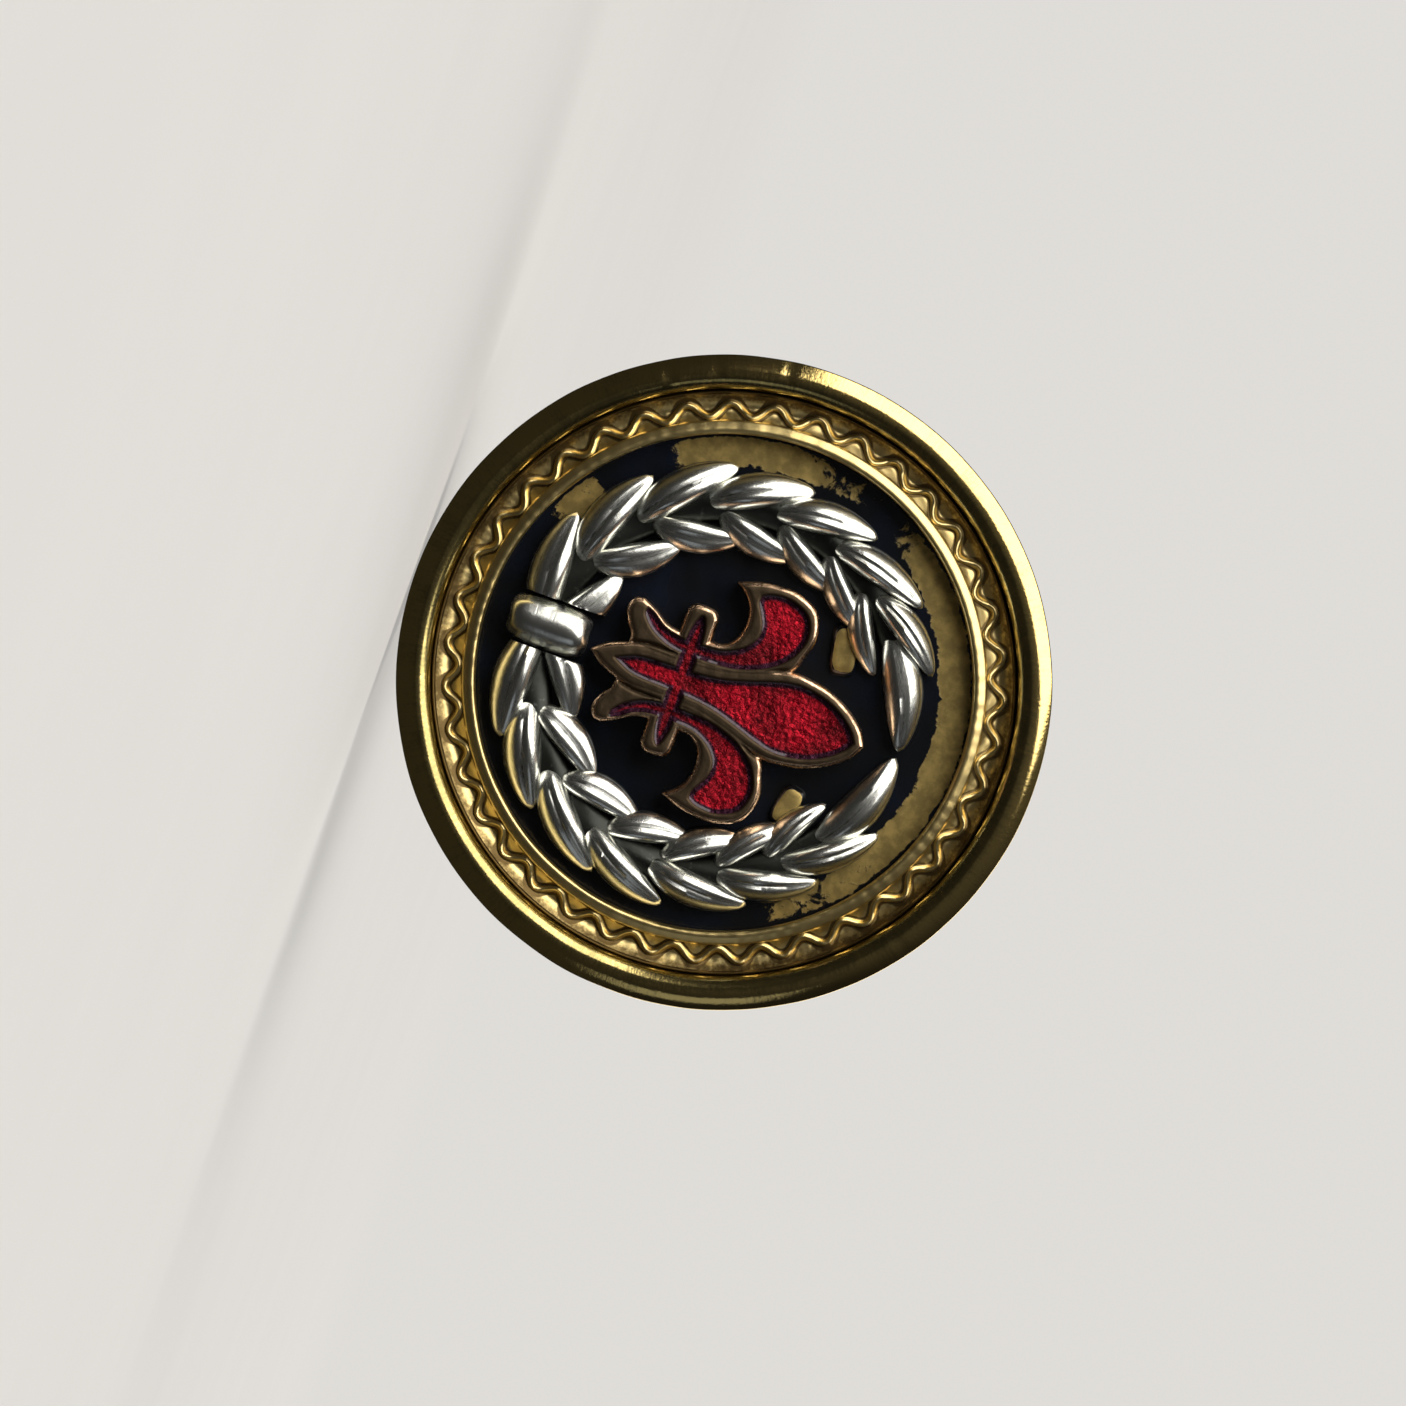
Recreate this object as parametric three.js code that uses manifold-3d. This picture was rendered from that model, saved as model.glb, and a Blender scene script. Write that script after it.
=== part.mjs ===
// Round screw-post cap badge: a rolled brass rim, a struck zigzag border, a lacquered field with a
// silver wreath and an enamelled lily pinned to it, and a threaded post with a captive washer and nut.
// Millimetres. The face looks towards -Y, the badge's top is +Z, and a "depth" is measured forward
// (towards -Y) from the rear face of the back plate, so the post runs to negative depths.
import * as THREE from 'three';
import { mergeVertices } from 'three/addons/utils/BufferGeometryUtils.js';
import Module from 'manifold-3d';

const wasm = await Module();
wasm.setup();

// Driving dimensions
const badgeRadius = 13.0;
const sheet = 0.3;               // thickness of the pressed rim
const fit = 0.03;                // gap between pieces that bear on each other
const roundSteps = 48;
const smallest = 0.01;           // detail finer than this is dropped after a boolean

const rollRadius = 0.69;         // half-round roll of the rim
const rollDepth = 3.45;          // depth of the roll's centre
const lipRear = 0.06;

const plateRadius = 12.55;
const plateSheet = 0.45;
const landInner = 8.4;           // the raised land that bears on the cap
const landOuter = 11.2;
const plateDish = 0.15;

const fieldRadius = 10.05;
const fieldTop = 2.9;
const fieldFall = 0.2;           // drop of the domed field at its edge
const fieldSheet = 0.3;

const waveCount = 39;
const waveRadius = 10.82;
const waveSwing = 0.32;
const waveSteps = 4;             // facets along one wave
const channelFloor = 3.2;
const ridgeTop = 3.44;
const ridgeHalf = 0.15;
const ringUnderside = 2.3;

const baseDepth = fieldTop + fit; // underside of the wreath and the lily
const wreathX = 0.35;
const wreathZ = -0.3;
const stemRadius = 7.45;
const stemHalf = 0.4;
const leafPairs = 7;
const tie = { x: 0.21, z: -7.3, half: 1.04, length: 3.3, height: 1.3 };

const lilyX = 0.5;
const lilyTop = 4.05;
const pocketDepth = 3.45;
const enamelTop = 3.9;
const enamelGap = 0.05;

const threadRadius = 1.45;
const threadBore = 1.5;
const postEnd = -8.5;
const postHead = { radius: 3.5, rear: 0.63, front: 1.15 };
const clampGap = 0.5;            // room for the cap's cloth with the nut run home
const washer = { bore: 1.9, radius: 7.4, thickness: 0.4 };
const nut = { radius: 7.0, disc: 1.6, hubRadius: 3.3, hub: 0.85, chamfer: 0.35 };

const pinRadius = 0.35;
const pinHead = { radius: 0.6, thickness: 0.25 };
const wreathPins = [[tie.x, tie.z], [-6.3, 2.9], [7.0, 2.9]];
const lilyPins = [[lilyX, 2.9], [lilyX, -2.2]];
const locator = { x: 9.8, radius: 0.5, headRadius: 0.85, headFront: 0.8, tip: -3.2, taper: 0.9 };

// Finishes
const finish = (color, roughness, metalness) => new THREE.MeshStandardMaterial({ color, roughness, metalness });
const agedBrass = finish(0xa8853c, 0.35, 1);
const brightBrass = finish(0xc9a24a, 0.3, 1);
const blackLacquer = finish(0x16181f, 0.25, 0.1);
const oldSilver = finish(0xb9bcae, 0.28, 1);
const copperBronze = finish(0x7a5c3c, 0.35, 1);
const rubyEnamel = finish(0xa01428, 0.12, 0);
const greyCard = finish(0x8a7f6c, 0.95, 0);
const platedBrass = finish(0xb89a58, 0.35, 1);

// Position-only copy of a geometry, merged, without zero-area triangles and with its faces outward.
function tidy(geometry) {
  const bare = geometry.clone();
  for (const name of Object.keys(bare.attributes)) {
    if (name !== 'position') bare.deleteAttribute(name);
  }
  const merged = mergeVertices(bare, 1e-5);
  const place = merged.attributes.position;
  const corner = [0, 1, 2].map(() => new THREE.Vector3());
  const index = [];
  let volume = 0;
  for (let i = 0; i < merged.index.count; i += 3) {
    const [a, b, c] = [0, 1, 2].map((k) => merged.index.getX(i + k));
    if (a === b || b === c || c === a) continue;
    index.push(a, b, c);
    [a, b, c].forEach((v, k) => corner[k].fromBufferAttribute(place, v));
    volume += corner[0].dot(corner[1].cross(corner[2]));
  }
  if (volume < 0) index.reverse();
  merged.setIndex(index);
  return merged;
}

function toSolid(geometry) {
  const { attributes, index } = tidy(geometry);
  const vertProperties = new Float32Array(attributes.position.array);
  const triVerts = new Uint32Array(index.array);
  return new wasm.Manifold(new wasm.Mesh({ numProp: 3, vertProperties, triVerts }));
}

function fromSolid(solid) {
  const { vertProperties, triVerts } = solid.asOriginal().simplify(smallest).getMesh();
  const geometry = new THREE.BufferGeometry();
  geometry.setAttribute('position', new THREE.BufferAttribute(vertProperties, 3));
  geometry.setIndex(new THREE.BufferAttribute(triVerts, 1));
  return geometry;
}

const union = (geometries) => geometries.map(toSolid).reduce((whole, piece) => whole.add(piece));
const cutBy = (solid, geometries) => geometries.map(toSolid).reduce((left, tool) => left.subtract(tool), solid);

// Ring or disc turned about the badge's axis from [radius, depth] points.
function turned(profile, steps = roundSteps) {
  const points = profile.map(([radius, depth]) => new THREE.Vector2(radius, -depth));
  return new THREE.LatheGeometry(points, steps);
}

const ringOf = (profile, steps) => turned([...profile, profile[0]], steps);

// Points along an arc of a section, from one angle to another in degrees.
function arc(radius, depth, size, from, to, steps) {
  return Array.from({ length: steps + 1 }, (_, i) => {
    const angle = THREE.MathUtils.degToRad(from + ((to - from) * i) / steps);
    return [radius + size * Math.cos(angle), depth + size * Math.sin(angle)];
  });
}

// Peg of round section along the badge's axis, standing at x, z.
function peg(x, z, radius, rear, front, steps = 12) {
  return turned([[0, front], [radius, front], [radius, rear], [0, rear]], steps).translate(x, 0, z);
}

// Flat plate with the given outline, between two depths.
function slab(shape, rear, front, steps) {
  const plate = new THREE.ExtrudeGeometry(shape, { depth: front - rear, bevelEnabled: false, curveSegments: steps });
  return plate.rotateX(Math.PI / 2).translate(0, -rear, 0);
}

// Block between two corners given as [x, depth, z].
function block([x0, rear, z0], [x1, front, z1]) {
  const box = new THREE.BoxGeometry(x1 - x0, front - rear, z1 - z0);
  return box.translate((x0 + x1) / 2, -(rear + front) / 2, (z0 + z1) / 2);
}

const fieldDepth = (radius) => fieldTop - fieldFall * (radius / fieldRadius) ** 2;

// ---------------------------------------------------------------- shell, border and field

// Pressed rim: half-round roll at the front, plain side wall, edge turned in behind the back plate.
function rimShell() {
  const rollCentre = badgeRadius - rollRadius;
  const inside = rollRadius - sheet;
  return ringOf([
    [11.55, lipRear], [12.75, lipRear], [12.94, 0.2], [badgeRadius, 0.45],
    ...arc(rollCentre, rollDepth, rollRadius, 0, 180, 8),
    [rollCentre - rollRadius, 2.95], [rollCentre - inside, 2.95],
    ...arc(rollCentre, rollDepth, inside, 180, 0, 4),
    [badgeRadius - sheet, 0.4], [12.62, lipRear + sheet], [11.55, lipRear + sheet],
  ]);
}

// Struck border: inner bead, sunk channel with a sinuous ridge, and a flange held under the rim.
function borderRing() {
  const ridge = [[-ridgeHalf, channelFloor], [0, ridgeTop], [ridgeHalf, channelFloor]];
  const profile = [
    [9.86, fieldTop - 0.12], [9.9, 3.58], [10.1, 3.72], [10.3, 3.58], [10.34, channelFloor],
    ...ridge.map(([across, depth]) => [waveRadius + across, depth]),
    [11.38, channelFloor], [11.55, 3.5], [11.57, 2.88], [12.6, 2.88],
    [12.6, ringUnderside], [10.12, ringUnderside], [10.12, fieldTop - 0.12],
  ];
  const ring = ringOf(profile, waveCount * waveSteps);
  const place = ring.attributes.position;
  for (let i = 0; i < place.count; i++) {
    const radius = Math.hypot(place.getX(i), place.getZ(i));
    const onRidge = Math.abs(radius - waveRadius) < ridgeHalf + 0.01 && -place.getY(i) > ringUnderside + 0.1;
    if (!onRidge) continue;
    const angle = Math.atan2(place.getX(i), place.getZ(i));
    const shifted = (radius + waveSwing * Math.sin(waveCount * angle)) / radius;
    place.setX(i, place.getX(i) * shifted);
    place.setZ(i, place.getZ(i) * shifted);
  }
  return ring;
}

// Domed field disc with two small raised tablets and a hole for each pin.
function fieldPlate() {
  const radii = [0, 2.5, 5, 7.5, fieldRadius];
  const front = radii.map((radius) => [radius, fieldDepth(radius)]);
  const rear = [...radii].reverse().map((radius) => [radius, fieldDepth(radius) - fieldSheet]);
  const tablets = [-1, 1].map((side) => {
    const tablet = new THREE.BoxGeometry(1.9, 0.5, 0.75).rotateY((side * 12 * Math.PI) / 180);
    return tablet.translate(lilyX + side * 3.3, -fieldTop - 0.05, 4.0);
  });
  const holes = [...wreathPins, ...lilyPins].map(([x, z]) => peg(x, z, pinRadius + 0.06, 2, 3.5));
  return fromSolid(cutBy(union([turned([...front, ...rear]), ...tablets]), holes));
}

// ---------------------------------------------------------------- wreath

const polar = (degrees, radius) => {
  const angle = THREE.MathUtils.degToRad(degrees);
  return new THREE.Vector3(wreathX + radius * Math.sin(angle), 0, wreathZ + radius * Math.cos(angle));
};

// Pointed spindle from a root to a tip, flattened towards the field, rising slightly at its tip.
function leaf(root, tip, halfWidth, height) {
  const length = root.distanceTo(tip);
  const shape = [[0, 0], [0.55, 0.12], [1, 0.42], [0.72, 0.75], [0, 1]];
  const spindle = new THREE.LatheGeometry(
    shape.map(([across, along]) => new THREE.Vector2(across * halfWidth, along * length)), 8);
  spindle.scale(1, 1, height / halfWidth);
  const along = tip.clone().sub(root).setY(-0.35).normalize();
  const outward = new THREE.Vector3(0, -1, 0).addScaledVector(along, along.y).normalize();
  const across = new THREE.Vector3().crossVectors(along, outward);
  spindle.applyMatrix4(new THREE.Matrix4().makeBasis(across, along, outward));
  return spindle.translate(root.x, -baseDepth - 0.15, root.z);
}

// One spray: a curved stem with outer and inner leaves in pairs and one leaf at its end.
function wreathSpray(side) {
  const stemCurve = new THREE.CatmullRomCurve3(
    Array.from({ length: 9 }, (_, i) => polar(side * (171 - 19 * i), stemRadius).setY(-baseDepth)));
  const section = new THREE.Shape().absarc(0, 0, stemHalf, 0, 2 * Math.PI);
  const stem = new THREE.ExtrudeGeometry(section, {
    steps: 24, curveSegments: 4, bevelEnabled: false, extrudePath: stemCurve,
  });
  const leaves = [leaf(polar(side * 27, stemRadius), polar(side * 1, 7.6), 0.62, 0.65)];
  for (let k = 0; k < leafPairs; k++) {
    const spread = 1 - 0.04 * k;
    const outer = 148 - 22.5 * k + 0.25 * k * k;
    const inner = 148 - 26.5 * k + k * k;
    const reach = 27 - 0.9 * k;
    leaves.push(leaf(polar(side * (outer + reach), stemRadius), polar(side * outer, 8.8), 0.85 * spread, 0.8));
    leaves.push(leaf(polar(side * (inner + reach), stemRadius), polar(side * inner, 5.8 + 0.1 * k),
      0.74 * spread, 0.8));
  }
  const below = block([-12, -1, -12], [12, baseDepth, 12]);
  const tieRoom = tie.half + 0.05;
  const tieSide = block([tie.x - tieRoom, 0, -11], [tie.x + tieRoom, 6, -4]);
  const otherHalf = side > 0 ? block([-12, 0, 0], [wreathX + 0.05, 6, 12]) : block([wreathX - 0.05, 0, 0], [12, 6, 12]);
  return fromSolid(cutBy(union([stem, ...leaves]), [below, tieSide, otherHalf]));
}

// Wrapped band that covers the crossing of the two stems.
function wreathTie() {
  const shape = [[0, -0.5], [0.7, -0.5], [0.95, -0.35], [1, 0], [0.96, 0.3], [0.7, 0.46], [0, 0.5]];
  const barrel = new THREE.LatheGeometry(
    shape.map(([across, along]) => new THREE.Vector2(across * tie.half, along * tie.length)), 16);
  barrel.scale(1, 1, tie.height / tie.half).rotateX(Math.PI / 2).translate(tie.x, -baseDepth, tie.z);
  return fromSolid(cutBy(toSolid(barrel), [block([-3, -1, -12], [3, baseDepth, 0])]));
}

// ---------------------------------------------------------------- lily

// Closed outline of smooth runs, with a corner wherever one run ends and the next begins.
function outline(...runs) {
  const shape = new THREE.Shape();
  shape.moveTo(...runs[0][0]);
  for (const run of runs) {
    shape.splineThru(run.slice(1).map(([x, z]) => new THREE.Vector2(x, z)));
  }
  return shape;
}

const mirrored = (run) => run.map(([x, z]) => [-x, z]);
const symmetric = (run) => outline(run, mirrored(run).reverse());
const bothSides = (...runs) => [outline(...runs), outline(...runs.map(mirrored))];

// Outer outlines of the lily's walls, about its own axis.
const lilyBody = [
  symmetric([[0, 6.1], [0.62, 5.72], [1.2, 5.0], [1.62, 4.1], [1.8, 3.2], [1.82, 2.4], [1.5, 1.0],
    [1.1, -0.5], [1.0, -2.0], [0.95, -3.4], [0.7, -4.3], [0.4, -4.95], [0, -5.45]]),
  ...bothSides(
    [[0.6, -0.5], [1.1, 1.2], [1.8, 2.36], [2.5, 2.67], [3.2, 2.87], [3.9, 2.78], [4.5, 2.4],
      [4.82, 1.65], [4.88, 1.0], [4.78, 0.1], [4.45, -0.88]],
    [[4.45, -0.88], [4.15, -0.48], [3.75, -0.14], [3.2, 0.02], [2.72, 0.0], [2.3, -0.15], [1.97, -0.5], [1.87, -1.1]],
    [[1.87, -1.1], [1.85, -2.3]],
    [[1.85, -2.3], [1.95, -2.9], [2.3, -3.45], [2.6, -4.05]],
    [[2.6, -4.05], [2.5, -4.45], [2.05, -4.62], [1.55, -4.45], [1.1, -4.15], [0.7, -4.1]],
    [[0.7, -4.1], [0.5, -2.0], [0.6, -0.5]]),
  symmetric([[0, -1.03], [2.75, -1.03], [3.08, -1.3], [3.1, -2.05], [2.8, -2.35], [0, -2.35]]),
];

// Outlines of the sunk cells that hold the enamel; they cross at the band and form one cell.
const lilyCells = [
  symmetric([[0, 5.62], [0.45, 5.3], [0.92, 4.7], [1.24, 4.0], [1.4, 3.2], [1.38, 2.5], [1.2, 1.8],
    [0.9, 0.9], [0.64, 0.0], [0.5, -0.9], [0.45, -2.1], [0.42, -3.0], [0.32, -3.7], [0, -4.4]]),
  ...bothSides(
    [[1.06, -1.4], [1.15, 0.0], [1.45, 1.0], [1.85, 1.7], [2.4, 2.2], [3.1, 2.48], [3.8, 2.38],
      [4.25, 2.0], [4.48, 1.3], [4.42, 0.6], [4.25, 0.25]],
    [[4.25, 0.25], [3.95, 0.25], [3.6, 0.45], [3.1, 0.68], [2.6, 0.66], [2.1, 0.3], [1.75, -0.3], [1.62, -0.9],
      [1.6, -2.2], [1.78, -2.95], [2.15, -3.5], [2.3, -3.85]],
    [[2.3, -3.85], [1.98, -3.82], [1.52, -3.35], [1.2, -2.7], [1.08, -2.1], [1.06, -1.4]]),
  symmetric([[0, -1.36], [1.9, -1.4], [2.7, -1.68], [1.9, -1.98], [0, -2.02]]),
];

// The same outline drawn a small gap further in.
function inset(shape, gap, steps) {
  const points = shape.getPoints(steps);
  if (points[0].distanceTo(points.at(-1)) < 1e-6) points.pop();
  const turn = THREE.ShapeUtils.isClockWise(points) ? -1 : 1;
  return new THREE.Shape(points.map((point, i) => {
    const along = points[(i + 1) % points.length].clone().sub(points.at(i - 1)).normalize();
    return new THREE.Vector2(point.x - turn * gap * along.y, point.y + turn * gap * along.x);
  }));
}

const lilySteps = 2;

// Cast frame: the lily's body with its cells sunk into the front.
function lilyFrame() {
  const body = union(lilyBody.map((shape) => slab(shape, baseDepth, lilyTop, lilySteps)));
  const cells = lilyCells.map((shape) => slab(shape, pocketDepth, lilyTop + 1, lilySteps));
  return fromSolid(cutBy(body, cells)).translate(lilyX, 0, 0);
}

// Fired enamel that fills the cells.
function lilyEnamel() {
  const fills = lilyCells.map((shape) => slab(inset(shape, enamelGap, lilySteps), pocketDepth + fit, enamelTop, 1));
  return fromSolid(union(fills)).translate(lilyX, 0, 0);
}

// ---------------------------------------------------------------- pins, packing and back

// Pin with a peened head behind the field plate.
function rivetPin([x, z]) {
  const rear = fieldDepth(Math.hypot(x, z)) - fieldSheet - 0.05;
  const profile = [[0, baseDepth - fit], [pinRadius, baseDepth - fit], [pinRadius, rear],
    [pinHead.radius, rear], [pinHead.radius * 0.8, rear - pinHead.thickness], [0, rear - pinHead.thickness]];
  return turned(profile, 12).translate(x, 0, z);
}

// Card disc that packs the space between the field and the back plate.
function packingDisc() {
  const disc = ringOf([
    [3.8, 0.63], [10.8, 0.63], [11.05, 0.88], [12.5, 0.88],
    [12.5, ringUnderside - fit], [9.9, ringUnderside - fit], [3.8, 2.5],
  ]);
  const pinRooms = wreathPins.map(([x, z]) => peg(x, z, 0.8, 0, 3));
  const headRooms = [-1, 1].map((side) => peg(side * locator.x, 0, locator.headRadius + 0.1, 0, 1.1));
  return fromSolid(cutBy(toSolid(disc), [...pinRooms, ...headRooms]));
}

// Pressed back plate: dished centre, raised land, and an edge stepped forward under the rim.
function backPlate() {
  const plate = ringOf([
    [1.6, plateDish], [landInner - 0.2, plateDish], [landInner, 0], [landOuter, 0], [landOuter + 0.2, 0.4],
    [plateRadius, 0.4], [plateRadius, 0.4 + plateSheet], [landOuter - 0.1, 0.4 + plateSheet],
    [landOuter - 0.3, plateSheet], [landInner + 0.3, plateSheet], [landInner + 0.1, plateSheet + plateDish],
    [1.6, plateSheet + plateDish],
  ]);
  const holes = [-1, 1].map((side) => peg(side * locator.x, 0, locator.radius + 0.06, -1, 2));
  return fromSolid(cutBy(toSolid(plate), holes));
}

// Threaded post with a flat head trapped behind the plate; the radius is the thread's crest.
function screwPost() {
  return turned([
    [0, postHead.front], [postHead.radius, postHead.front], [postHead.radius, postHead.rear],
    [threadRadius, postHead.rear], [threadRadius, postEnd + 0.3], [threadRadius - 0.3, postEnd], [0, postEnd],
  ], 24);
}

// Pointed pin that stops the badge from turning in the cap.
function locatingPin(side) {
  const { radius, headRadius, headFront, tip, taper } = locator;
  const headRear = plateSheet + fit;
  return turned([
    [0, headFront], [headRadius, headFront], [headRadius, headRear], [radius, headRear],
    [radius, tip + taper], [0, tip],
  ], 16).translate(side * locator.x, 0, 0);
}

// ---------------------------------------------------------------- fastening

const washerFront = -clampGap;
const nutFront = washerFront - washer.thickness - fit;

function clampWasher() {
  const rear = washerFront - washer.thickness;
  return ringOf([[washer.bore, washerFront], [washer.radius, washerFront], [washer.radius, rear], [washer.bore, rear]]);
}

// Round nut with a turned hub; the radius is the knurl's crest.
function thumbNut() {
  const { radius, disc, hubRadius, hub, chamfer } = nut;
  const rear = nutFront - disc;
  return ringOf([
    [threadBore, nutFront], [radius - chamfer, nutFront], [radius, nutFront - chamfer], [radius, rear + chamfer],
    [radius - chamfer, rear], [hubRadius + 0.2, rear], [hubRadius, rear - hub], [threadBore, rear - hub],
  ]);
}

// ---------------------------------------------------------------- assembly

const badge = new THREE.Group();

function add(name, geometry, material) {
  const mesh = new THREE.Mesh(tidy(geometry), material);
  mesh.name = name;
  badge.add(mesh);
}

add('rim_shell', rimShell(), agedBrass);
add('border_ring', borderRing(), brightBrass);
add('field_plate', fieldPlate(), blackLacquer);
add('wreath_spray_left', wreathSpray(-1), oldSilver);
add('wreath_spray_right', wreathSpray(1), oldSilver);
add('wreath_tie', wreathTie(), oldSilver);
wreathPins.forEach((place, i) => add(`wreath_pin_${i + 1}`, rivetPin(place), oldSilver));
add('lily_frame', lilyFrame(), copperBronze);
add('lily_enamel', lilyEnamel(), rubyEnamel);
lilyPins.forEach((place, i) => add(`lily_pin_${i + 1}`, rivetPin(place), copperBronze));
add('packing_disc', packingDisc(), greyCard);
add('back_plate', backPlate(), platedBrass);
add('screw_post', screwPost(), platedBrass);
add('locating_pin_left', locatingPin(-1), platedBrass);
add('locating_pin_right', locatingPin(1), platedBrass);
add('clamp_washer', clampWasher(), platedBrass);
add('thumb_nut', thumbNut(), platedBrass);

export default badge;
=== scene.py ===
"""Round cap badge: rolled rim, struck border, lacquered field, silver wreath and enamelled lily,
with a screw post, washer and knurled nut behind.

Sections are given in millimetres as [radius, depth]. Radius is measured from the badge's axis, and
depth forward from the rear face of the back plate, so a point stands at y = -depth.
"""

import math

import bpy
import numpy as np
from bpy.props import FloatProperty, FloatVectorProperty, IntProperty, PointerProperty
from mathutils import Matrix, Vector


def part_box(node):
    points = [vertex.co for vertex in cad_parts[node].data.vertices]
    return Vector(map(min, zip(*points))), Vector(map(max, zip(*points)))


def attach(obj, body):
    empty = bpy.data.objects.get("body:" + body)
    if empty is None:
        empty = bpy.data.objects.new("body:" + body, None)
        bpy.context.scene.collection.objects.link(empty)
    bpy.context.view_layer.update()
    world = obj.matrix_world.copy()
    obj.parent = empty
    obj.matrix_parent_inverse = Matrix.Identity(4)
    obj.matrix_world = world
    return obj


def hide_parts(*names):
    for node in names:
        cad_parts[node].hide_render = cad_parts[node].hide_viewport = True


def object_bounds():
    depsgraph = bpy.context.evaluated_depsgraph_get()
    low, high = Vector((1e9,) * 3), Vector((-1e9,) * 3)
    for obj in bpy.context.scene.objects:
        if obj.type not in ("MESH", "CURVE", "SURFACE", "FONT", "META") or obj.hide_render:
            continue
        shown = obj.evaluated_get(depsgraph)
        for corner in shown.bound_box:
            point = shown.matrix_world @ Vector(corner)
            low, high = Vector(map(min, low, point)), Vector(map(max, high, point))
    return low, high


bl_info = {
    "name": "Cap badge",
    "version": (1, 0, 0),
    "blender": (4, 5, 0),
    "location": "View3D > Sidebar > Cap Badge",
    "description": "Builds a round enamelled cap badge around its CAD frame",
    "category": "Object",
}

MM = 0.001
FULL_TURN = 2 * math.pi

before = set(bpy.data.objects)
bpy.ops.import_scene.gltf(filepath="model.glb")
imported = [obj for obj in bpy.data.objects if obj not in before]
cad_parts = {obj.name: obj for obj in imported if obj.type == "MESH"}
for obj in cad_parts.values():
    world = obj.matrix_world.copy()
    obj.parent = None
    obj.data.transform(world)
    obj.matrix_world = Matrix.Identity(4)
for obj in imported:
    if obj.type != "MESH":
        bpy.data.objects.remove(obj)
cad_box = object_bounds()


# ------------------------------------------------------------------ settings


def length(name, mm, description):
    """A size property in metres, given in millimetres."""
    return FloatProperty(
        name=name, description=description, default=mm * MM, min=0.0, unit="LENGTH", precision=5
    )


def colour(name, rgb, description):
    """A linear colour property."""
    return FloatVectorProperty(
        name=name, description=description, default=rgb, min=0.0, max=1.0, size=3, subtype="COLOR"
    )


class RimSettings(bpy.types.PropertyGroup):
    radius: length("Radius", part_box("rim_shell")[1].x / MM, "Outer radius of the rolled rim")
    roll: length("Roll", 0.69, "Radius of the half-round roll")
    roll_depth: length("Roll depth", 3.45, "Depth of the roll's centre above the cap")
    sheet: length("Sheet", 0.3, "Thickness of the pressed sheet")
    bright: colour("Worn brass", (0.93, 0.69, 0.25), "Brass where it is rubbed bright")
    # The patina colour also serves as painted shade on the roll's inner slope.
    patina: colour("Patina", (0.40, 0.325, 0.125), "Olive-brown patina")


class BorderSettings(bpy.types.PropertyGroup):
    waves: IntProperty(name="Waves", description="Waves of the ridge round the channel", default=39, min=3)
    wave_radius: length("Wave radius", 10.82, "Mean radius of the sinuous ridge")
    wave_swing: length("Wave swing", 0.26, "How far the ridge swings to each side")
    bright: colour("Bright brass", (0.95, 0.73, 0.31), "Brass on the raised lines")
    # Patina and painted shade in the channel's hollows.
    hollow: colour("Hollow brass", (0.17, 0.115, 0.045), "Brass in the hollows")


class FieldSettings(bpy.types.PropertyGroup):
    radius: length("Radius", 10.05, "Radius of the domed field")
    top: length("Top", 2.9, "Depth of the field at its centre")
    fall: length("Fall", 0.2, "How far the dome drops at its edge")
    lacquer: colour("Lacquer", (0.008, 0.009, 0.011), "Black lacquer")
    brass: colour("Worn brass", (0.68, 0.49, 0.16), "Brass where the lacquer is worn through")


class WreathSettings(bpy.types.PropertyGroup):
    centre_x: length("Centre X", 0.35, "Centre of the wreath to the right of the axis")
    stem_radius: length("Stem radius", 7.45, "Radius of the stems' curve")
    pairs: IntProperty(name="Leaf pairs", description="Pairs of leaves on each spray", default=7, min=1)
    silver: colour("Silver", (0.93, 0.93, 0.86), "Polished silver")
    # The tarnish colour also serves as painted shade between the leaves.
    tarnish: colour("Tarnish", (0.055, 0.058, 0.05), "Dark tarnish in the hollows")


class LilySettings(bpy.types.PropertyGroup):
    centre_x: length("Centre X", 0.5, "Axis of the lily to the right of the badge's axis")
    top: length("Top", 4.05, "Depth of the top of the walls")
    enamel_top: length("Enamel top", 3.87, "Depth of the enamel's surface")
    mesh_step: length("Mesh step", 0.042, "Spacing of the grid that the lily is made on")
    bronze: colour("Bronze", (0.12, 0.085, 0.05), "Brown bronze")
    copper: colour("Copper", (0.98, 0.64, 0.40), "Copper-coloured worn edges")
    enamel: colour("Enamel", (0.62, 0.004, 0.022), "Ruby enamel over bright foil")
    # Painted shade of the cell walls, with a purple tint.
    shade_film: colour("Dark film", (0.045, 0.006, 0.022), "Purple film along the walls")


class BackSettings(bpy.types.PropertyGroup):
    pitch: length("Pitch", 0.5, "Pitch of the right-handed screw thread")
    thread_depth: length("Thread depth", 0.28, "Depth of the screw thread")
    knurls: IntProperty(name="Knurls", description="Grooves round the nut's edge", default=72, min=12)
    knurl_depth: length("Knurl depth", 0.16, "Depth of a groove of the nut's edge")
    plated: colour("Plated brass", (0.62, 0.47, 0.22), "Dull plated brass")
    stain: colour("Stain", (0.20, 0.13, 0.06), "Brown stain on the plating")


class StageSettings(bpy.types.PropertyGroup):
    floor_radius: FloatProperty(
        name="Floor radius", description="Radius of the floor", default=0.6, min=0.1, unit="LENGTH"
    )
    distance: FloatProperty(
        name="Camera distance", description="Camera to badge", default=0.25, min=0.05, unit="LENGTH"
    )
    view_width: length("View width", 55.7, "Width of the view at the badge's face")
    pale: colour("Pale ground", (0.74, 0.72, 0.69), "Floor and surroundings as the camera sees them")


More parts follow.
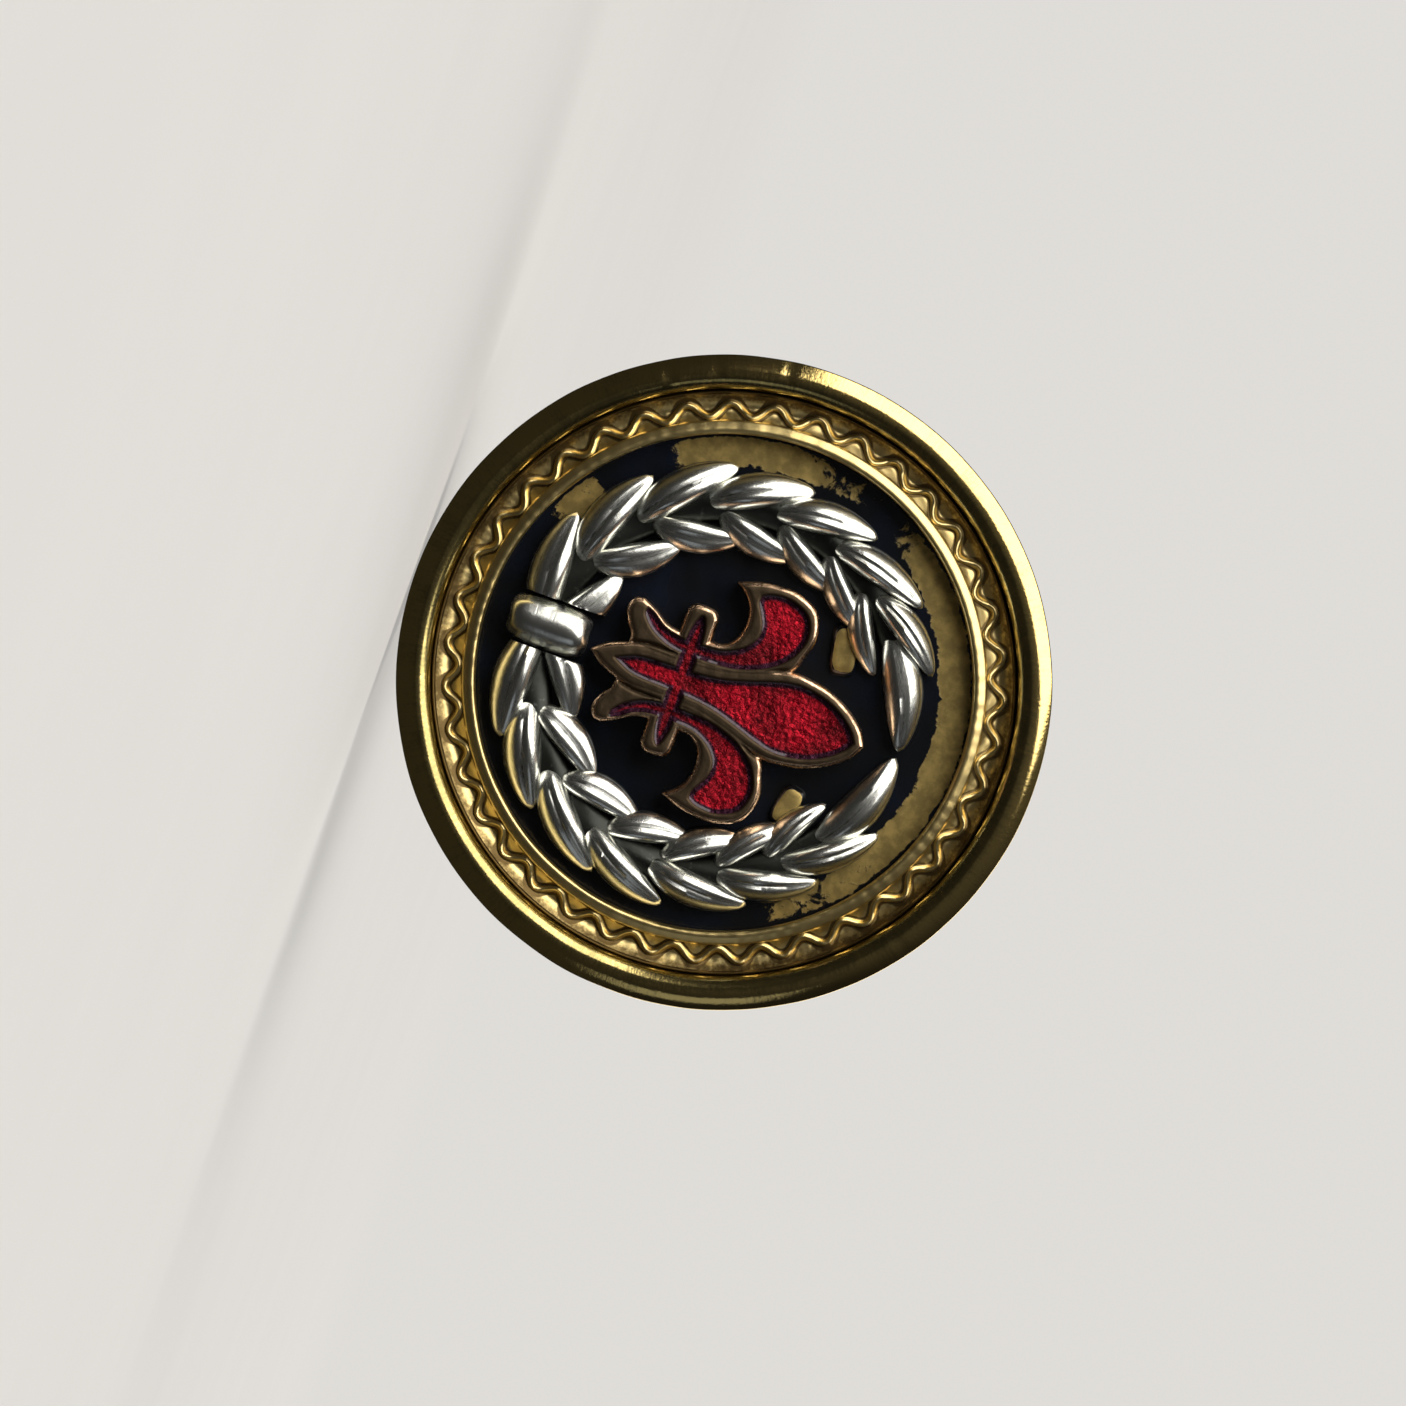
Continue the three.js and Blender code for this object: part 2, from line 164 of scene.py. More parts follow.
class CapBadgeSettings(bpy.types.PropertyGroup):
    rim: PointerProperty(type=RimSettings, name="Rim", description="The rolled rim")
    border: PointerProperty(type=BorderSettings, name="Border", description="The struck border")
    field: PointerProperty(type=FieldSettings, name="Field", description="The lacquered field")
    wreath: PointerProperty(type=WreathSettings, name="Wreath", description="The silver wreath")
    lily: PointerProperty(type=LilySettings, name="Lily", description="The enamelled lily")
    back: PointerProperty(type=BackSettings, name="Back", description="Everything behind the face")
    stage: PointerProperty(type=StageSettings, name="Stage", description="Floor, lights and camera")


# ------------------------------------------------------------------ surfaces

# A surface is a dictionary: points (n, 3) in millimetres, faces (a list of index arrays, one for
# each number of corners), and marks, values from 0 to 1 that a material reads at each point.


def eased(low, high, value):
    """0 below low, 1 above high, and t * t * (3 - 2 t) between them."""
    t = np.clip((value - low) / (high - low), 0, 1)
    return t * t * (3 - 2 * t)


def uneven(seed, *coordinates, waves=7, finest=3.0):
    """Smooth unevenness between about -1 and 1: a sum of sine waves across the coordinates, each
    with its own direction, wavelength and phase."""
    rng = np.random.default_rng(seed)
    total = np.zeros(np.broadcast(*coordinates).shape)
    for _ in range(waves):
        turns = rng.normal(size=len(coordinates)) * rng.uniform(0.4, finest)
        total = total + np.sin(sum(t * c for t, c in zip(turns, coordinates)) + rng.uniform(0, FULL_TURN))
    return total / math.sqrt(waves) / 1.4


def quads(rows, columns, wrap_rows=False, wrap_columns=False):
    """Faces of a grid of points numbered row by row: point (i, j) joins (i, j+1), (i+1, j+1) and
    (i+1, j), and the last row or column joins the first where it wraps."""
    i, j = np.meshgrid(
        np.arange(rows if wrap_rows else rows - 1),
        np.arange(columns if wrap_columns else columns - 1),
        indexing="ij",
    )
    below, right = (i + 1) % rows, (j + 1) % columns
    corners = [i * columns + j, i * columns + right, below * columns + right, below * columns + j]
    return np.stack(corners, -1).reshape(-1, 4)


def fan(pole, first, columns):
    """Triangles from one pole to a closed row of points that starts at first."""
    j = np.arange(columns)
    return np.stack([np.full(columns, pole), first + j, first + (j + 1) % columns], -1)


def surface(points, faces, **marks):
    """A closed surface with its faces turned outwards: the sum of a . (b x c) over its triangles is
    six times its volume, and a negative sum means that the faces look inwards."""
    points = np.asarray(points, float).reshape(-1, 3)
    volume = 0.0
    for group in faces:
        for k in range(1, group.shape[1] - 1):
            a, b, c = points[group[:, 0]], points[group[:, k]], points[group[:, k + 1]]
            volume += np.einsum("ij,ij->", a, np.cross(b, c))
    if volume < 0:
        faces = [group[:, ::-1] for group in faces]
    return {"points": points, "faces": faces, "marks": {k: np.ravel(v) for k, v in marks.items()}}


def tube(rows, **marks):
    """A closed surface from rows of points, each row a closed loop. The first and last rows are each
    closed by a fan to their middle, which brings a row whose points all coincide to one point."""
    rows = np.asarray(rows, float)
    count, columns = rows.shape[:2]
    body = rows.reshape(-1, 3)
    marks = {k: np.broadcast_to(v, (count, columns)) for k, v in marks.items()}
    points, faces = [body], [quads(count, columns, wrap_columns=True)]
    values = {k: [v.ravel()] for k, v in marks.items()}
    total = len(body)
    for row, flip in ((0, True), (count - 1, False)):
        points.append(rows[row].mean(0)[None])
        cap = fan(total, row * columns, columns)
        faces.append(cap[:, ::-1] if flip else cap)
        for k, v in marks.items():
            values[k].append([v[row].mean()])
        total += 1
    return surface(np.concatenate(points), faces, **{k: np.concatenate(v) for k, v in values.items()})


def joined(surfaces):
    """One surface from several."""
    offsets = np.cumsum([0] + [len(s["points"]) for s in surfaces[:-1]])
    names = surfaces[0]["marks"]
    return {
        "points": np.concatenate([s["points"] for s in surfaces]),
        "faces": [group + offset for s, offset in zip(surfaces, offsets) for group in s["faces"]],
        "marks": {k: np.concatenate([s["marks"][k] for s in surfaces]) for k in names},
    }


def place_round(radius, depth, angle, centre=(0.0, 0.0)):
    """Points at an angle from the badge's top towards its right: x = radius sin(angle),
    y = -depth, z = radius cos(angle), about a centre x, z."""
    x = centre[0] + radius * np.sin(angle)
    z = centre[1] + radius * np.cos(angle)
    return np.stack(np.broadcast_arrays(x, -depth, z), -1)


def rounded(points, size=0.08, steps=4):
    """A section with each corner turned into a short arc: the quadratic curve
    (1-t)^2 a + 2t(1-t) corner + t^2 b, where a and b lie up to size from the corner."""
    points = np.asarray(points, float)
    before, after = points[:-2], points[2:]
    corner = points[1:-1]
    reach_in = np.minimum(size, 0.45 * np.linalg.norm(before - corner, axis=1))[:, None]
    reach_out = np.minimum(size, 0.45 * np.linalg.norm(after - corner, axis=1))[:, None]
    a = corner + reach_in * (before - corner) / np.linalg.norm(before - corner, axis=1)[:, None]
    b = corner + reach_out * (after - corner) / np.linalg.norm(after - corner, axis=1)[:, None]
    t = np.linspace(0, 1, steps)[None, :, None]
    arcs = (1 - t) ** 2 * a[:, None] + 2 * t * (1 - t) * corner[:, None] + t**2 * b[:, None]
    return np.concatenate([points[:1], arcs.reshape(-1, 2), points[-1:]])


def rounded_ring(points, size=0.08, steps=4):
    """The same for a section that closes on itself."""
    points = np.asarray(points, float)
    return rounded(np.concatenate([points[-1:], points, points[:1]]), size, steps)[1:-1]


def turned_ring(section, steps, change=None, marks=None):
    """A closed section carried round the axis. change(radius, depth, angle) may move the points, and
    marks(radius, depth, angle) gives their marks, both from the section as drawn."""
    section = np.asarray(section, float)
    angle = np.arange(steps) * FULL_TURN / steps
    radius, depth, angle = np.broadcast_arrays(section[:, :1], section[:, 1:], angle[None])
    values = marks(radius, depth, angle) if marks else {}
    if change:
        radius, depth = change(radius, depth, angle)
    points = place_round(radius, depth, angle)
    return surface(points, [quads(len(section), steps, True, True)], **values)


def turned_solid(section, steps, change=None, centre=(0.0, 0.0)):
    """A section that starts and ends on the axis, carried round it, with one point at each pole."""
    section = np.asarray(section, float)
    angle = np.arange(steps) * FULL_TURN / steps
    radius, depth, angle = np.broadcast_arrays(section[1:-1, :1], section[1:-1, 1:], angle[None])
    if change:
        radius, depth = change(radius, depth, angle)
    rows = len(section) - 2
    body = place_round(radius, depth, angle, centre).reshape(-1, 3)
    ends = [[centre[0], -section[k, 1], centre[1]] for k in (0, -1)]
    faces = [
        quads(rows, steps, wrap_columns=True),
        fan(len(body), 0, steps)[:, ::-1],
        fan(len(body) + 1, (rows - 1) * steps, steps),
    ]
    return surface(np.concatenate([body, ends]), faces)


def oval(centre, sizes, start, end, steps):
    """Points of part of an oval in a section: centre + (a cos angle, b sin angle), with the angle
    from start to end in degrees."""
    angle = np.radians(np.linspace(start, end, steps))
    return np.stack([centre[0] + sizes[0] * np.cos(angle), centre[1] + sizes[1] * np.sin(angle)], -1)


def arc(centre, size, start, end, steps):
    """Points of part of a circle in a section."""
    return oval(centre, (size, size), start, end, steps)


def subdivided(section, spacing):
    """A section with points added so that none is further than spacing from the next."""
    section = np.asarray(section, float)
    gaps = np.linalg.norm(np.diff(section, axis=0), axis=1)
    at = np.concatenate([[0], np.cumsum(gaps)])
    counts = [max(2, math.ceil((b - a) / spacing) + 1) for a, b in zip(at[:-1], at[1:])]
    pieces = [np.linspace(a, b, count)[:-1] for a, b, count in zip(at[:-1], at[1:], counts)]
    along = np.concatenate([*pieces, at[-1:]])
    return np.stack([np.interp(along, at, section[:, k]) for k in (0, 1)], -1)


# ------------------------------------------------------------------ pieces


def add_piece(name, shape, finish, nodes, body="badge", crease=40.0):
    """Puts a surface into a mesh object at the origin, smooth except along edges sharper than
    crease degrees, parents it to its CAD body's empty, and hides the CAD nodes it stands for."""
    mesh = bpy.data.meshes.new(name)
    faces = [face for group in shape["faces"] for face in group.tolist()]
    mesh.from_pydata((shape["points"] * MM).tolist(), [], faces)
    for mark, values in shape["marks"].items():
        attribute = mesh.attributes.new(mark, "FLOAT", "POINT")
        attribute.data.foreach_set("value", np.clip(values, 0, 1).astype(np.float32))
    mesh.polygons.foreach_set("use_smooth", np.ones(len(mesh.polygons), bool))
    mesh.set_sharp_from_angle(angle=math.radians(crease))
    mesh.materials.append(finish)
    piece = bpy.data.objects.new(name, mesh)
    bpy.context.scene.collection.objects.link(piece)
    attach(piece, body)
    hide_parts(*nodes)


def finish_node(name, finish):
    """Gives a CAD node that stays its procedural material."""
    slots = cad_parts[name].material_slots
    if not slots:
        raise RuntimeError(f"{name} has no material slot")
    for each in slots:
        each.material = finish


# ------------------------------------------------------------------ shader groups


def node(tree, kind, inputs=None, **values):
    """Adds a shader node, sets its values, and fills its inputs with sockets or constants."""
    made = tree.nodes.new(kind)
    for key, value in values.items():
        setattr(made, key, value)
    for key, value in (inputs or {}).items():
        if isinstance(value, bpy.types.NodeSocket):
            tree.links.new(value, made.inputs[key])
        else:
            made.inputs[key].default_value = value
    return made


def maths(tree, operation, *operands):
    """One Math node's result."""
    return node(tree, "ShaderNodeMath", dict(enumerate(operands)), operation=operation).outputs[0]


def mixed(tree, factor, a, b):
    """Colour a where factor is 0 and b where it is 1."""
    made = node(tree, "ShaderNodeMix", data_type="RGBA")
    for key, value in ((0, factor), (6, a), (7, b)):
        if isinstance(value, bpy.types.NodeSocket):
            tree.links.new(value, made.inputs[key])
        else:
            made.inputs[key].default_value = value if key == 0 else (*value, 1.0)[:4]
    return made.outputs[2]


def stepped(tree, value, low, high, to_low=0.0, to_high=1.0):
    """A smooth step of a value from low to high."""
    inputs = {"Value": value, "From Min": low, "From Max": high, "To Min": to_low, "To Max": to_high}
    return node(tree, "ShaderNodeMapRange", inputs, interpolation_type="SMOOTHSTEP").outputs["Result"]


def noise(tree, vector, scale, detail=3.0, roughness=0.55, distortion=0.0):
    """One Noise Texture's factor."""
    inputs = {"Vector": vector, "Scale": scale, "Detail": detail}
    inputs |= {"Roughness": roughness, "Distortion": distortion}
    return node(tree, "ShaderNodeTexNoise", inputs).outputs["Fac"]


def new_group(name, inputs, outputs):
    """An empty shader node group: inputs are (name, kind, default), outputs (name, kind)."""
    tree = bpy.data.node_groups.new(name, "ShaderNodeTree")
    for label, kind, default in inputs:
        socket = tree.interface.new_socket(label, in_out="INPUT", socket_type=kind)
        if default is not None:
            socket.default_value = default
    for label, kind in outputs:
        tree.interface.new_socket(label, in_out="OUTPUT", socket_type=kind)
    return tree, tree.nodes.new("NodeGroupInput").outputs, tree.nodes.new("NodeGroupOutput").inputs


FLOAT, COLOUR, VECTOR = "NodeSocketFloat", "NodeSocketColor", "NodeSocketVector"


def old_metal_group():
    """Bright metal on the crests and the dark colour in the hollows, broken up by noise at two sizes. The
    dark colour is patina, and on the rim, border and wreath the mark that drives it also paints shade.
    """
    inputs = [
        ("Vector", VECTOR, None),
        ("Bright", COLOUR, (0.8, 0.6, 0.3, 1.0)),
        ("Dark", COLOUR, (0.1, 0.08, 0.04, 1.0)),
        ("Hollow", FLOAT, 0.0),
        ("Cover", FLOAT, 0.5),
        ("Patch Scale", FLOAT, 900.0),
        ("Grain Scale", FLOAT, 7000.0),
        ("Polish", FLOAT, 0.2),
        ("Dull", FLOAT, 0.5),
    ]
    tree, given, out = new_group("Old metal", inputs, [("Color", COLOUR), ("Roughness", FLOAT)])
    patches = noise(tree, given["Vector"], given["Patch Scale"], 5.0, 0.6, 0.3)
    grain = noise(tree, given["Vector"], given["Grain Scale"], 2.0)
    broad = maths(tree, "MULTIPLY_ADD", patches, 0.65, given["Hollow"])
    spread = maths(tree, "MULTIPLY_ADD", grain, 0.35, broad)
    level = maths(tree, "SUBTRACT", spread, maths(tree, "SUBTRACT", 1.0, given["Cover"]))
    patina = stepped(tree, level, -0.22, 0.22)
    tree.links.new(mixed(tree, patina, given["Bright"], given["Dark"]), out["Color"])
    rough = node(tree, "ShaderNodeMix", {0: patina, 2: given["Polish"], 3: given["Dull"]}).outputs[0]
    tree.links.new(rough, out["Roughness"])
    return tree


def ring_coordinates_group():
    """Coordinates that follow a turned piece: the direction from the axis, times Round, and the
    radius and depth, times Across. A noise on them has streaks that run across the ring."""
    inputs = [("Vector", VECTOR, None), ("Round", FLOAT, 1.0), ("Across", FLOAT, 1.0)]
    tree, given, out = new_group("Ring coordinates", inputs, [("Vector", VECTOR)])
    flat = node(tree, "ShaderNodeVectorMath", {0: given["Vector"], 1: (1.0, 0.0, 1.0)}, operation="MULTIPLY")
    radius = node(tree, "ShaderNodeVectorMath", {0: flat.outputs[0]}, operation="LENGTH").outputs["Value"]
    way = node(tree, "ShaderNodeVectorMath", {0: flat.outputs[0]}, operation="NORMALIZE").outputs[0]
    scaled = {0: way, "Scale": given["Round"]}
    around = node(tree, "ShaderNodeVectorMath", scaled, operation="SCALE").outputs[0]
    depth = node(tree, "ShaderNodeSeparateXYZ", {0: given["Vector"]}).outputs["Y"]
    across = maths(tree, "MULTIPLY", maths(tree, "SUBTRACT", radius, depth), given["Across"])
    shift = node(tree, "ShaderNodeCombineXYZ", {"Y": across}).outputs[0]
    total = node(tree, "ShaderNodeVectorMath", {0: around, 1: shift}, operation="ADD").outputs[0]
    tree.links.new(total, out["Vector"])
    return tree


def scratches_group():
    """Fine scratches in two crossing directions: noise drawn out along each, kept where it peaks."""
    inputs = [("Vector", VECTOR, None), ("Scale", FLOAT, 1000.0), ("Amount", FLOAT, 0.5)]
    tree, given, out = new_group("Fine scratches", inputs, [("Mask", FLOAT)])
    masks = []
    for turn, stretch in ((0.6, (0.05, 0.2, 1.4)), (2.1, (0.04, 0.2, 1.1))):
        along = node(
            tree,
            "ShaderNodeMapping",
            {"Vector": given["Vector"], "Rotation": (0.0, turn, 0.0), "Scale": stretch},
            vector_type="POINT",
        ).outputs[0]
        lines = noise(tree, along, maths(tree, "MULTIPLY", given["Scale"], 8.0), 2.0)
        masks.append(stepped(tree, lines, 0.60, 0.70))
    both = maths(tree, "MAXIMUM", *masks)
    tree.links.new(maths(tree, "MULTIPLY", both, given["Amount"]), out["Mask"])
    return tree


def pitting_group():
    """Small dents and specks: cells of a Voronoi texture with their middles sunk, over fine noise."""
    inputs = [("Vector", VECTOR, None), ("Scale", FLOAT, 4000.0), ("Depth", FLOAT, 1.0)]
    tree, given, out = new_group("Pitting", inputs, [("Height", FLOAT)])
    cells = node(
        tree, "ShaderNodeTexVoronoi", {"Vector": given["Vector"], "Scale": given["Scale"]}, feature="F1"
    ).outputs["Distance"]
    rough = noise(tree, given["Vector"], maths(tree, "MULTIPLY", given["Scale"], 1.7), 4.0, 0.65)
    sunk = stepped(tree, cells, 0.05, 0.5)
    height = maths(tree, "MULTIPLY_ADD", sunk, 0.5, rough)
    tree.links.new(maths(tree, "MULTIPLY", height, given["Depth"]), out["Height"])
    return tree


def use(tree, group, inputs):
    """Places a shared group in a material."""
    made = tree.nodes.new("ShaderNodeGroup")
    made.node_tree = group
    for key, value in inputs.items():
        if isinstance(value, bpy.types.NodeSocket):
            tree.links.new(value, made.inputs[key])
        elif isinstance(value, (int, float)):
            made.inputs[key].default_value = value
        else:
            made.inputs[key].default_value = (*value, 1.0) if len(value) == 3 else value
    return made.outputs


def group(name):
    """The shared group of that name, built the first time it is asked for."""
    makers = {
        "Old metal": old_metal_group,
        "Ring coordinates": ring_coordinates_group,
        "Fine scratches": scratches_group,
        "Pitting": pitting_group,
    }
    return bpy.data.node_groups.get(name) or makers[name]()


def new_material(name):
    """A material with an empty tree, its Principled shader, and the piece's own coordinates."""
    material = bpy.data.materials.new(name)
    material.use_nodes = True
    tree = material.node_tree
    tree.nodes.clear()
    shader = tree.nodes.new("ShaderNodeBsdfPrincipled")
    output = tree.nodes.new("ShaderNodeOutputMaterial")
    tree.links.new(shader.outputs[0], output.inputs[0])
    here = tree.nodes.new("ShaderNodeTexCoord").outputs["Object"]
    return material, tree, shader, here


def mark(tree, name):
    """A piece's own value at each point."""
    return node(tree, "ShaderNodeAttribute", attribute_name=name).outputs["Fac"]


def bumped(tree, shader, height, distance, strength):
    """Feeds a height through a Bump node into the shader's normal."""
    bump = node(tree, "ShaderNodeBump", {"Height": height, "Distance": distance, "Strength": strength})
    tree.links.new(bump.outputs[0], shader.inputs["Normal"])


def feed(tree, shader, sockets):
    """Links sockets to the shader's inputs, or sets plain values."""
    for key, value in sockets.items():
        if isinstance(value, bpy.types.NodeSocket):
            tree.links.new(value, shader.inputs[key])
        else:
            shader.inputs[key].default_value = value


# ------------------------------------------------------------------ finishes


def pitting(tree, here, scale, depth):
    """The height of small dents and specks."""
    return use(tree, group("Pitting"), {"Vector": here, "Scale": scale, "Depth": depth})["Height"]


def fine_scratches(tree, here, scale, amount):
    """The mask of fine scratches."""
    return use(tree, group("Fine scratches"), {"Vector": here, "Scale": scale, "Amount": amount})["Mask"]


def ring_noise(tree, here, around, across, scale, roughness):
    """Noise that follows a turned piece: streaks across it, or turning marks where across is large."""
    values = {"Vector": here, "Round": around, "Across": across}
    return noise(tree, use(tree, group("Ring coordinates"), values)["Vector"], scale, 3.0, roughness)


def old_metal(tree, shader, here, bright, dark, hollow, cover, patches, grain, polish, dull):
    """Makes the shader bare metal, with its colour and roughness from the Old metal group."""
    values = {"Vector": here, "Bright": bright, "Dark": dark, "Hollow": hollow, "Cover": cover}
    values |= {"Patch Scale": patches, "Grain Scale": grain, "Polish": polish, "Dull": dull}
    metal = use(tree, group("Old metal"), values)
    feed(tree, shader, {"Base Color": metal["Color"], "Roughness": metal["Roughness"], "Metallic": 1.0})


def aged_brass(settings):
    """Pressed brass: olive patina, specks, and streaks across the roll that break up its shine, with painted
    shade on the roll's inner slope.
    """
    material, tree, shader, here = new_material("Aged brass")
    streaks = ring_noise(tree, here, 60.0, 900.0, 1.6, 0.7)
    hollow = maths(tree, "MULTIPLY_ADD", streaks, 0.5, maths(tree, "MULTIPLY", mark(tree, "hollow"), 0.5))
    sheen = {"cover": 0.1, "patches": 700.0, "grain": 9000.0, "polish": 0.12, "dull": 0.2}
    old_metal(tree, shader, here, settings.bright, settings.patina, hollow, **sheen)
    height = maths(tree, "MULTIPLY_ADD", streaks, 0.8, pitting(tree, here, 5200.0, 0.7))
    bumped(tree, shader, height, 0.000005, 0.8)
    return material


def struck_brass(settings):
    """Struck brass: bright on the raised lines, brown in the hollows of the channel: patina, and painted
    shade beside the ridge and along the outer part next to the rim.
    """
    material, tree, shader, here = new_material("Struck brass")
    sheen = {"cover": 0.12, "patches": 1100.0, "grain": 9000.0, "polish": 0.34, "dull": 0.46}
    old_metal(tree, shader, here, settings.bright, settings.hollow, mark(tree, "hollow"), **sheen)
    bumped(tree, shader, pitting(tree, here, 4200.0, 1.0), 0.000006, 0.7)
    return material


def black_lacquer(settings):
    """Black lacquer, glossy where it is whole and worn to blotchy brass where the mark says, with slow bluish
    patches of painted sheen.
    """
    material, tree, shader, here = new_material("Black lacquer")
    ragged = noise(tree, here, 900.0, 6.0, 0.68, 0.6)
    small = noise(tree, here, 3800.0, 3.0, 0.6)
    speckled = maths(tree, "MULTIPLY_ADD", small, 0.18, mark(tree, "worn"))
    level = maths(tree, "MULTIPLY_ADD", ragged, 0.62, speckled)
    worn = stepped(tree, level, 0.84, 0.90)
    blotch = stepped(tree, noise(tree, here, 1500.0, 5.0, 0.62), 0.38, 0.66)
    # Painted reflection: slow bluish patches in the black stand for the sheen of the glossy lacquer.
    painted_blue_sheen = tuple(c * k for c, k in zip(settings.lacquer, (1.1, 1.4, 2.2)))
    lacquer = mixed(tree, stepped(tree, noise(tree, here, 330.0, 2.0), 0.4, 0.7), settings.lacquer, painted_blue_sheen)
    dark_brass = tuple(0.62 * c for c in settings.brass)
    brass = mixed(tree, blotch, dark_brass, settings.brass)
    feed(
        tree,
        shader,
        {
            "Base Color": mixed(tree, worn, lacquer, brass),
            "Metallic": maths(tree, "MULTIPLY", worn, 0.62),
            "Roughness": stepped(tree, worn, 0.0, 1.0, 0.14, 0.5),
        },
    )
    waves = noise(tree, here, 420.0, 3.0)
    whole = maths(tree, "MULTIPLY_ADD", waves, 1.6, pitting(tree, here, 3600.0, 0.25))
    height = maths(tree, "SUBTRACT", whole, maths(tree, "MULTIPLY", worn, 0.7))
    bumped(tree, shader, height, 0.00002, 0.7)
    return material


def old_silver(settings):
    """Silver, polished on the swell of the leaves and nearly black in the hollows between them: tarnish, and
    painted shade between the leaves.
    """
    material, tree, shader, here = new_material("Old silver")
    sheen = {"cover": -0.02, "patches": 850.0, "grain": 5200.0, "polish": 0.27, "dull": 0.42}
    old_metal(tree, shader, here, settings.silver, settings.tarnish, mark(tree, "hollow"), **sheen)
    scratches = fine_scratches(tree, here, 700.0, 0.25)
    height = maths(tree, "SUBTRACT", pitting(tree, here, 2600.0, 0.9), scratches)
    bumped(tree, shader, height, 0.000008, 0.7)
    return material


def copper_bronze(settings):
    """Brown bronze with copper showing where the edges are rubbed."""
    material, tree, shader, here = new_material("Copper bronze")
    sheen = {"cover": 0.42, "patches": 1300.0, "grain": 8000.0, "polish": 0.16, "dull": 0.6}
    old_metal(tree, shader, here, settings.copper, settings.bronze, mark(tree, "hollow"), **sheen)
    bumped(tree, shader, pitting(tree, here, 5000.0, 0.8), 0.000012, 0.7)
    return material


def ruby_enamel(settings):
    """Clear ruby glass over crinkled bright foil, darkened to purple along the walls: a thin purple
    layer there, and painted shade of the walls. The foil's crinkles tilt the base normal, and the clear coat
    over it keeps the smooth surface."""
    material, tree, shader, here = new_material("Ruby enamel")
    crinkle = node(
        tree,
        "ShaderNodeTexVoronoi",
        {"Vector": here, "Scale": 4800.0, "Randomness": 1.0},
        feature="SMOOTH_F1",
    ).outputs["Distance"]
    ridges = noise(tree, here, 6500.0, 3.0, 0.6, 1.2)
    broad = noise(tree, here, 460.0, 4.0, 0.6)
    # Painted shade: the purple colour is laid along the walls, where they shade the enamel, and fades towards
    # the middle of each cell.
    shade_film_level = maths(tree, "MULTIPLY_ADD", noise(tree, here, 2600.0, 3.0), 0.5, mark(tree, "inside"))
    clear = stepped(tree, shade_film_level, 0.62, 1.05)
    dark_red = tuple(0.34 * c for c in settings.enamel)
    red = mixed(tree, stepped(tree, broad, 0.36, 0.62), dark_red, settings.enamel)
    feed(
        tree,
        shader,
        {
            "Base Color": mixed(tree, clear, settings.shade_film, red),
            "Metallic": 0.75,
            "Roughness": stepped(tree, ridges, 0.3, 0.7, 0.22, 0.42),
            "Coat Weight": 1.0,
            "Coat Roughness": 0.06,
            "Coat IOR": 1.5,
        },
    )
    bumped(tree, shader, maths(tree, "ADD", crinkle, ridges), 0.00008, 1.0)
    return material


def plated_brass(settings):
    """Dull plated brass of the back: turning marks, brown stains and fine scratches."""
    material, tree, shader, here = new_material("Plated brass")
    rings = ring_noise(tree, here, 2.0, 5000.0, 2.4, 0.6)
    hollow = maths(tree, "MULTIPLY", rings, 0.12)
    sheen = {"cover": 0.36, "patches": 420.0, "grain": 6000.0, "polish": 0.3, "dull": 0.52}
    old_metal(tree, shader, here, settings.plated, settings.stain, hollow, **sheen)
    height = maths(tree, "SUBTRACT", rings, fine_scratches(tree, here, 500.0, 0.4))
    bumped(tree, shader, height, 0.00001, 0.6)
    return material


def grey_card():
    """Matte packing card with short fibres."""
    material, tree, shader, here = new_material("Grey card")
    fibres = noise(tree, here, 3000.0, 6.0, 0.7, 1.5)
    card = mixed(tree, fibres, (0.16, 0.13, 0.09), (0.40, 0.35, 0.27))
    feed(tree, shader, {"Base Color": card, "Roughness": 0.92})
    bumped(tree, shader, fibres, 0.00003, 0.7)
    return material


def finish(name):
    """The material of that name, made once."""
    badge = bpy.context.scene.cap_badge
    makers = {
        "Aged brass": lambda: aged_brass(badge.rim),
        "Struck brass": lambda: struck_brass(badge.border),
        "Black lacquer": lambda: black_lacquer(badge.field),
        "Old silver": lambda: old_silver(badge.wreath),
        "Copper bronze": lambda: copper_bronze(badge.lily),
        "Ruby enamel": lambda: ruby_enamel(badge.lily),
        "Plated brass": lambda: plated_brass(badge.back),
        "Grey card": grey_card,
    }
    return bpy.data.materials.get(name) or makers[name]()


# ------------------------------------------------------------------ rim, border and field


